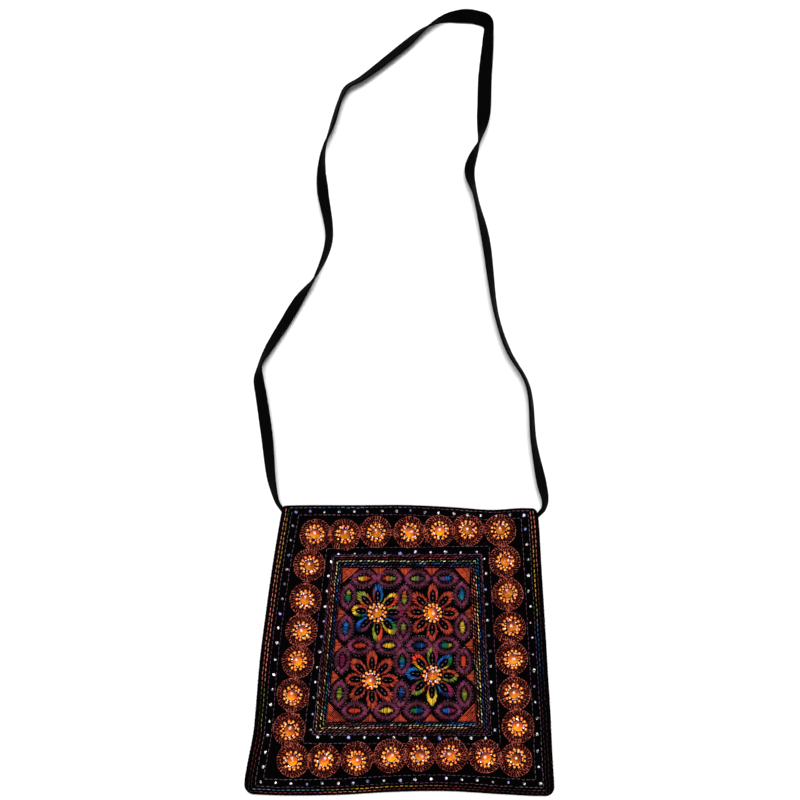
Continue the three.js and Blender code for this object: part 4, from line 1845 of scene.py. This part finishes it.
@dataclass
class Beadwork:
    """The centre beads, the seed beads and cut chips round them, and the crystals of the two tracks."""

    # Centre bead colours: the first is painted shade on its dark side, the second the glass's own amber,
    # the third a painted glow on its lit side and the fourth a painted highlight.
    DOME_PAINTED_SHADE = np.array([0.16, 0.035, 0.02])
    AMBER = np.array([0.95, 0.15, 0.0])
    DOME_PAINTED_GLOW = np.array([1.0, 0.36, 0.0])
    DOME_PAINTED_HIGHLIGHT = np.array([1.0, 0.8, 0.74])
    SEED_TINTS = np.array([[1.0, 0.36, 0.01], [1.0, 0.26, 0.0], [0.95, 0.16, 0.0], [1.0, 0.5, 0.08]])
    # The seeds' deep colour is painted shade on their sides and underside; the last is a painted
    # highlight on top.
    SEED_PAINTED_SHADE = np.array([0.46, 0.045, 0.0])
    SEED_PAINTED_HIGHLIGHT = np.array([1.0, 0.64, 0.16])
    GEM_SIDES = 8
    GEM_RINGS = ((0.9, 0.0), (1.0, 0.22), (0.55, 0.75))
    form: PouchForm
    nodes: Sequence[str]
    girth_height: float = 1.4 * MM
    base_diameter: float = 7.6 * MM
    base_share: float = 0.9
    base_height: float = 0.15 * MM
    crown_share: float = 0.97
    dome_sides: int = 18
    dome_rings: int = 7
    dome_grain: tuple = (0.45, 1.25)
    dome_depths: tuple = (0.45, 1.2)
    # Where the painted glow lies, how the painted shade gives way, how steep the painted glow is, and
    # the painted highlight's core, radius, spread and offset.
    painted_glow_sway: float = 0.5
    painted_shade_ramp: tuple = (0.58, 0.7)
    painted_glow_slope: float = 1.6
    highlight_core: float = 1.3
    highlight_radius: float = 0.22
    highlight_spread: float = 0.16
    highlight_back: float = 0.22
    tilt: float = 0.11
    ring_starts: float = 6.0
    seed_ring: BeadRing = BeadRing(6.9 * MM, 0.03, 0.15 * MM)
    seed_counts: tuple = (12, 14)
    seed_turn: float = 0.14
    seed_sizes: float = 0.04
    seed_radius: float = 1.14 * MM
    seed_length: float = 2.15 * MM
    seed_hole: float = 0.4 * MM
    seed_seat: float = 0.92
    seed_rings: int = 7
    seed_sides: int = 10
    seed_round: float = 0.75
    # How sharply the painted shade gives way to the lit top, and where the painted highlight starts, how
    # fast it rises and its most.
    seed_lit_power: float = 1.5
    seed_highlight: tuple = (0.82, 0.11, 0.7)
    chip_ring: BeadRing = BeadRing(5.15 * MM, 0.1, 0.25 * MM)
    chips: int = 15
    # The chips' pale tints are painted glints and their orange ones painted reflections of the amber
    # beads; their dark orange is a painted dark reflection.
    chip: CutStone = CutStone("rainbow_chips", 0.85 * MM, 0.9 * MM, 0.45, (
        (1.0, 0.95, 0.9), (0.6, 0.45, 1.0), (1.0, 0.28, 0.0), (1.0, 0.5, 0.1), (1.0, 0.36, 0.0),
        (0.95, 0.9, 1.0)), (0.3, 0.04, 0.0))
    # The crystals' tints are painted glints, their near black a painted dark reflection.
    crystal: CutStone = CutStone("track_crystals", 1.16 * MM, 0.0, 0.2, (
        (0.95, 0.94, 1.0), (1.0, 0.97, 0.95), (0.5, 0.46, 0.5), (0.25, 0.22, 0.8), (1.0, 0.55, 0.5),
        (0.9, 0.88, 0.92), (0.9, 0.9, 0.9), (0.7, 0.64, 1.0)), (0.03, 0.03, 0.035))
    crystal_spread: float = 0.35 * MM
    gem_spin: float = 3.0
    gem_sizes: float = 0.14
    # Brightness of the painted glints, and the share of facets that get the painted dark reflection
    # instead.
    glint_brightness: tuple = (0.7, 1.4)
    painted_dark_facet_share: float = 0.7
    low: np.ndarray = field(init=False)
    high: np.ndarray = field(init=False)
    centres: Points = field(init=False)
    chance: np.random.Generator = field(init=False)

    def __post_init__(self) -> None:
        """Take the beads' places and sizes from their CAD nodes."""
        boxes = [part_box(node) for node in self.nodes]
        self.low, self.high = (np.array([np.array(box[end]) for box in boxes]) for end in (0, 1))
        self.centres = (self.low + self.high)[:, :2] / 2
        self.chance = np.random.default_rng(61)

    def build(self, crystal_places: Points) -> None:
        """Make every bead and stone.

        Args:
            crystal_places: Flat places of the tracks' crystals.
        """
        self._domes()
        self._seeds()
        chips = [self._ring(centre, self.chips, self.chip_ring)[0] for centre in self.centres]
        material = CutCrystal().material()
        self._gems(self.chip, np.concatenate(chips), material)
        crystals = crystal_places + self.chance.normal(0, self.crystal_spread, crystal_places.shape)
        self._gems(self.crystal, crystals, material)

    def _lean(self, spread: float) -> Matrix:
        """A small random tilt about both flat axes."""
        first, second = (Matrix.Rotation(self.chance.normal(0, spread), 3, axis) for axis in "XY")
        return first @ second

    def _domes(self) -> None:
        """The polished centre beads."""
        diameter = float(np.mean(self.high[:, 0] - self.low[:, 0]))
        tall = float(np.mean(self.high[:, 2] - self.low[:, 2]))
        base = self.base_diameter / 2
        turn = np.linspace(0, math.pi / 2 * self.crown_share, self.dome_rings)
        radius = np.concatenate([[base * self.base_share, base], diameter / 2 * np.cos(turn)])
        rise = self.girth_height + (tall - self.girth_height) * np.sin(turn)
        level = np.concatenate([[0, self.base_height], rise])
        ring = polar(1.0, even_turns(self.dome_sides))
        heights = np.broadcast_to(level[:, None, None], (len(level), self.dome_sides, 1))
        template = np.concatenate([ring[None] * radius[:, None, None], heights], axis=2).reshape(-1, 3)
        points = []
        dyes = []
        for centre, low in zip(self.centres, self.low):
            lean = self._lean(self.tilt)
            points.append(template @ np.array(lean).T + np.array([*centre, low[2]]))
            dyes.append(self._dome_dyes(template[:, :2] / (diameter / 2)))
        # The dome dyes carry painted shade, a painted glow and a painted highlight; the finish adds a
        # painted glow from emission.
        piece = make_piece("centre_beads", np.concatenate(points),
                           capped_tubes(len(points), len(level), self.dome_sides),
                           AmberGlass("amber_dome", foil=0.0, glow=0.42).material(),
                           np.clip(np.concatenate(dyes), 0, 1), smooth=False)
        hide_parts(*self.nodes)

    def _dome_dyes(self, flat: Points) -> np.ndarray:
        """Colours of one centre bead: painted shade on one side, a painted glow on the other, and a pale
        painted highlight.

        Args:
            flat: Its points' flat places, as shares of its radius.

        Returns:
            A linear colour for each point.
        """
        # Painted shade and painted glow: the bead is darker on the side away from a chosen direction and
        # lit on the side towards it.
        way = self.chance.normal(-math.pi / 2, self.painted_glow_sway)
        ahead = np.array([math.cos(way), math.sin(way)])
        toward_glow = flat @ ahead
        start, slope = self.painted_shade_ramp
        out_of_shade = np.clip(start + slope * toward_glow, 0, 1)[:, None]
        middle = self.DOME_PAINTED_SHADE * (1 - out_of_shade) + self.AMBER * out_of_shade
        painted_glow_share = np.clip(self.painted_glow_slope * toward_glow, 0, 1)[:, None]
        body = middle * (1 - painted_glow_share) + self.DOME_PAINTED_GLOW * painted_glow_share
        body = body * self.chance.uniform(*self.dome_grain, (len(flat), 1))
        body = body * self.chance.uniform(*self.dome_depths)
        # Painted highlight: a pale patch near the middle, moved away from the glow.
        highlight_spot = self.chance.normal(0, self.highlight_spread, 2) - ahead * self.highlight_back
        away = np.linalg.norm(flat - highlight_spot, axis=1) / self.highlight_radius
        painted_highlight = np.clip(self.highlight_core - away, 0, 1)[:, None]
        return body * (1 - painted_highlight) + self.DOME_PAINTED_HIGHLIGHT * painted_highlight

    def _ring(self, centre: Points, count: int, ring: BeadRing) -> tuple[Points, np.ndarray]:
        """Space places round a centre bead, each a little astray.

        Args:
            centre: The bead's flat place.
            count: Number of places.
            ring: The ring that they lie on.

        Returns:
            The flat places and their angles.
        """
        angles = self.chance.uniform(0, self.ring_starts) + even_turns(count)
        angles = angles + self.chance.normal(0, ring.drift, count)
        radii = ring.radius + self.chance.normal(0, ring.spread, count)
        return centre + polar(radii, angles), angles

    def _seeds(self) -> None:
        """Rings of small pierced beads, each threaded along its ring, with painted shade on their sides
        and underside and a painted highlight on top.
        """
        turn = np.linspace(0, math.pi, self.seed_rings)
        along = self.seed_length / 2 * np.cos(turn)
        out = self.seed_hole + (self.seed_radius - self.seed_hole) * np.sin(turn) ** self.seed_round
        spin = even_turns(self.seed_sides)
        template = np.stack([
            np.broadcast_to(along[:, None], (self.seed_rings, self.seed_sides)),
            out[:, None] * np.cos(spin)[None],
            out[:, None] * np.sin(spin)[None],
        ], axis=-1).reshape(-1, 3)
        # Painted shade and highlight: a seed takes its tint only towards the top, painted shade below,
        # and a pale painted highlight at the very top.
        top = np.clip(template[:, 2:3] / self.seed_radius, 0, 1) ** self.seed_lit_power
        start, ramp, most = self.seed_highlight
        painted_highlight = np.clip((top - start) / ramp, 0, 1) * most
        points = []
        dyes = []
        for centre in self.centres:
            count = int(self.chance.integers(*self.seed_counts))
            spots, angles = self._ring(centre, count, self.seed_ring)
            level = self.form.height_at(spots[:, 0], spots[:, 1]) + self.seed_radius * self.seed_seat
            heading = angles + math.pi / 2 + self.chance.normal(0, self.seed_turn, count)
            ahead = np.stack([np.cos(heading), np.sin(heading), np.zeros(count)], axis=1)
            side = np.stack([-np.sin(heading), np.cos(heading), np.zeros(count)], axis=1)
            size = self.chance.normal(1.0, self.seed_sizes, count)[:, None, None]
            turned = ahead[:, None] * template[None, :, 0:1] + side[:, None] * template[None, :, 1:2]
            turned = turned + np.array([0, 0, 1.0])[None, None] * template[None, :, 2:3]
            points.append((turned * size + np.column_stack([spots, level])[:, None]).reshape(-1, 3))
            tint = self.SEED_TINTS[self.chance.integers(0, len(self.SEED_TINTS), count)]
            body = self.SEED_PAINTED_SHADE * (1 - top) + tint[:, None] * top
            dyes.append((body * (1 - painted_highlight) + self.SEED_PAINTED_HIGHLIGHT * painted_highlight).reshape(-1, 3))
        joined = np.concatenate(points)
        tube = tube_quads(self.seed_rings, self.seed_sides, closed=True)
        make_piece("seed_beads", joined, [repeated(tube, len(joined) // len(template), len(template))],
                   AmberGlass("amber_seed", foil=0.1, glow=0.26).material(),
                   np.concatenate(dyes))

    def _gems(self, stone: CutStone, places: Points, material: Material) -> None:
        """Cut stones with eight crown facets, each facet with its own painted glint or painted dark
        reflection.

        Args:
            stone: The kind of stone.
            places: Their flat places.
            material: Their finish.
        """
        facets = self._gem_facets(stone.radius)
        count = len(places)
        level = self.form.height_at(places[:, 0], places[:, 1]) + stone.lift
        points = np.empty((count, *facets.shape))
        for index in range(count):
            lean = self._lean(stone.lean)
            turn = lean @ Matrix.Rotation(self.chance.uniform(0, self.gem_spin), 3, "Z")
            size = self.chance.normal(1.0, self.gem_sizes)
            points[index] = facets @ np.array(turn).T * size + np.array([*places[index], level[index]])
        tints = np.array(stone.bright)
        hue = tints[self.chance.integers(0, len(tints), (count, 1))]
        # Painted glints and reflections: each facet is either a bright tint or the painted dark
        # reflection.
        light = self.chance.uniform(*self.glint_brightness, (count, len(facets), 1))
        is_painted_dark = self.chance.uniform(0, 1, light.shape) < self.painted_dark_facet_share
        dyes = np.where(is_painted_dark, np.array(stone.painted_dark_facet), np.clip(hue * light, 0, 1))
        quads = np.arange(count * len(facets) * 4).reshape(-1, 4)
        make_piece(stone.name, points.reshape(-1, 3), [quads], material,
                   np.repeat(dyes.reshape(-1, 3), 4, axis=0), smooth=False)

    def _gem_facets(self, radius: float) -> np.ndarray:
        """Cut one stone, standing on its flat back.

        Args:
            radius: Its girdle radius.

        Returns:
            The four corners of each facet.
        """
        girdle = polar(radius, even_turns(self.GEM_SIDES))
        rings = [np.column_stack([girdle * share, np.full(self.GEM_SIDES, radius * level)])
                 for share, level in self.GEM_RINGS]
        facets = []
        for low, high in zip(rings[:-1], rings[1:]):
            facets.extend(zip(low, np.roll(low, -1, axis=0), np.roll(high, -1, axis=0), high))
        for ring in (rings[-1], rings[0][::-1]):
            facets.extend([ring[:4], ring[[0, 3, 4, 7]], ring[4:]])
        return np.array(facets)


@dataclass(frozen=True)
class Softbox:
    """A soft lamp aimed at a point."""

    name: str
    place: tuple
    width: float
    watts: float
    target: tuple = (0.0, 0.2, 0.0)

    def build(self) -> None:
        """Hang the lamp."""
        lamp = bpy.data.lights.new(self.name, "AREA")
        lamp.shape = "SQUARE"
        lamp.size = self.width
        lamp.energy = self.watts
        holder = bpy.data.objects.new(self.name, lamp)
        holder.location = self.place
        aim = Vector(self.target) - Vector(self.place)
        holder.rotation_euler = aim.to_track_quat("-Z", "Y").to_euler()
        bpy.context.scene.collection.objects.link(holder)


@dataclass(frozen=True)
class Studio:
    """Camera, lamps, sky and floor."""

    camera_place: tuple = (-0.00366, 0.05107, 0.85641)
    camera_target: tuple = (-0.00781, 0.20974, 0.0)
    camera_up: tuple = (-0.02574, 0.98291, 0.18224)
    lens: float = 45.0
    sensor: float = 36.0
    floor_half: float = 4.0
    floor_level: float = -0.0002
    zenith: float = 0.06
    horizon: float = 0.8
    sky_power: float = 4.0
    far_clip: float = 50.0
    lamps: tuple = (
        Softbox("key_lamp", (0.1, 0.75, 3.0), width=1.5, watts=96),
        Softbox("fill_lamp", (-1.0, -0.8, 2.9), width=2.0, watts=30),
    )

    def camera(self) -> None:
        """Set the camera at the photograph's viewing angle."""
        data = bpy.data.cameras.new("camera")
        data.lens = self.lens
        data.sensor_width = self.sensor
        data.clip_end = self.far_clip
        back = (Vector(self.camera_place) - Vector(self.camera_target)).normalized()
        right = Vector(self.camera_up).cross(back).normalized()
        above = back.cross(right)
        holder = bpy.data.objects.new("camera", data)
        turn = Matrix((right, above, back)).transposed().to_4x4()
        holder.matrix_world = Matrix.Translation(self.camera_place) @ turn
        bpy.context.scene.collection.objects.link(holder)
        bpy.context.scene.camera = holder

    def light(self) -> None:
        """Hang the lamps and set the sky."""
        for lamp in self.lamps:
            lamp.build()
        sky = Shader(bpy.data.worlds.new("studio_sky"))
        _, _, height = sky.axes(sky.node("ShaderNodeTexCoord", output="Generated"))
        level = (1 - height).power(self.sky_power) * (self.horizon - self.zenith) + self.zenith
        backdrop = sky.node("ShaderNodeBackground", {}, {"Strength": level})
        sky.node("ShaderNodeOutputWorld", {}, {"Surface": backdrop})
        bpy.context.scene.world = sky.owner
        bpy.context.scene.view_settings.view_transform = "Standard"

    def floor(self) -> None:
        """Lay the pale floor."""
        half = self.floor_half
        corners = [(-half, -half), (half, -half), (half, half), (-half, half)]
        mesh = bpy.data.meshes.new("floor")
        mesh.from_pydata([(x, y, self.floor_level) for x, y in corners], [], [(0, 1, 2, 3)])
        mesh.materials.append(PaleFloor().material())
        floor = bpy.data.objects.new("floor", mesh)
        bpy.context.scene.collection.objects.link(floor)


def main() -> None:
    """Build the bag's looks in order."""
    logging.basicConfig(level=logging.INFO, format="%(name)s: %(message)s")
    studio = Studio()
    studio.camera()
    Strap().build()
    form = PouchForm()
    PouchCloth(form).build()
    bead_nodes = sorted(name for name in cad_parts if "_bead_" in name)
    beads = Beadwork(form, bead_nodes)
    is_flower = np.array([name.startswith("flower") for name in bead_nodes])
    thread = SpunThread("embroidery_thread").material()
    satin = SpunThread("satin_thread", roughness=0.42, gloss=0.16).material()
    track = PanelFrame((-73.9 * MM, -72.0 * MM), (75.9 * MM, -68.6 * MM), (-61.6 * MM, 75.5 * MM),
                       (65.7 * MM, 80.7 * MM))
    border = Border(form, thread, track)
    border.build()
    Medallions(form, thread, beads.centres[~is_flower]).build()
    panel = PanelFrame((-60.0 * MM, -59.5 * MM), (60.6 * MM, -56.0 * MM), (-51.7 * MM, 64.0 * MM),
                       (54.3 * MM, 66.8 * MM))
    BraidFrame(form, thread, panel).build()
    FlowerPanel(form, satin, panel, beads.centres[is_flower]).build()
    beads.build(border.crystal_places())
    studio.light()
    studio.floor()


if __name__ == "__main__":
    main()
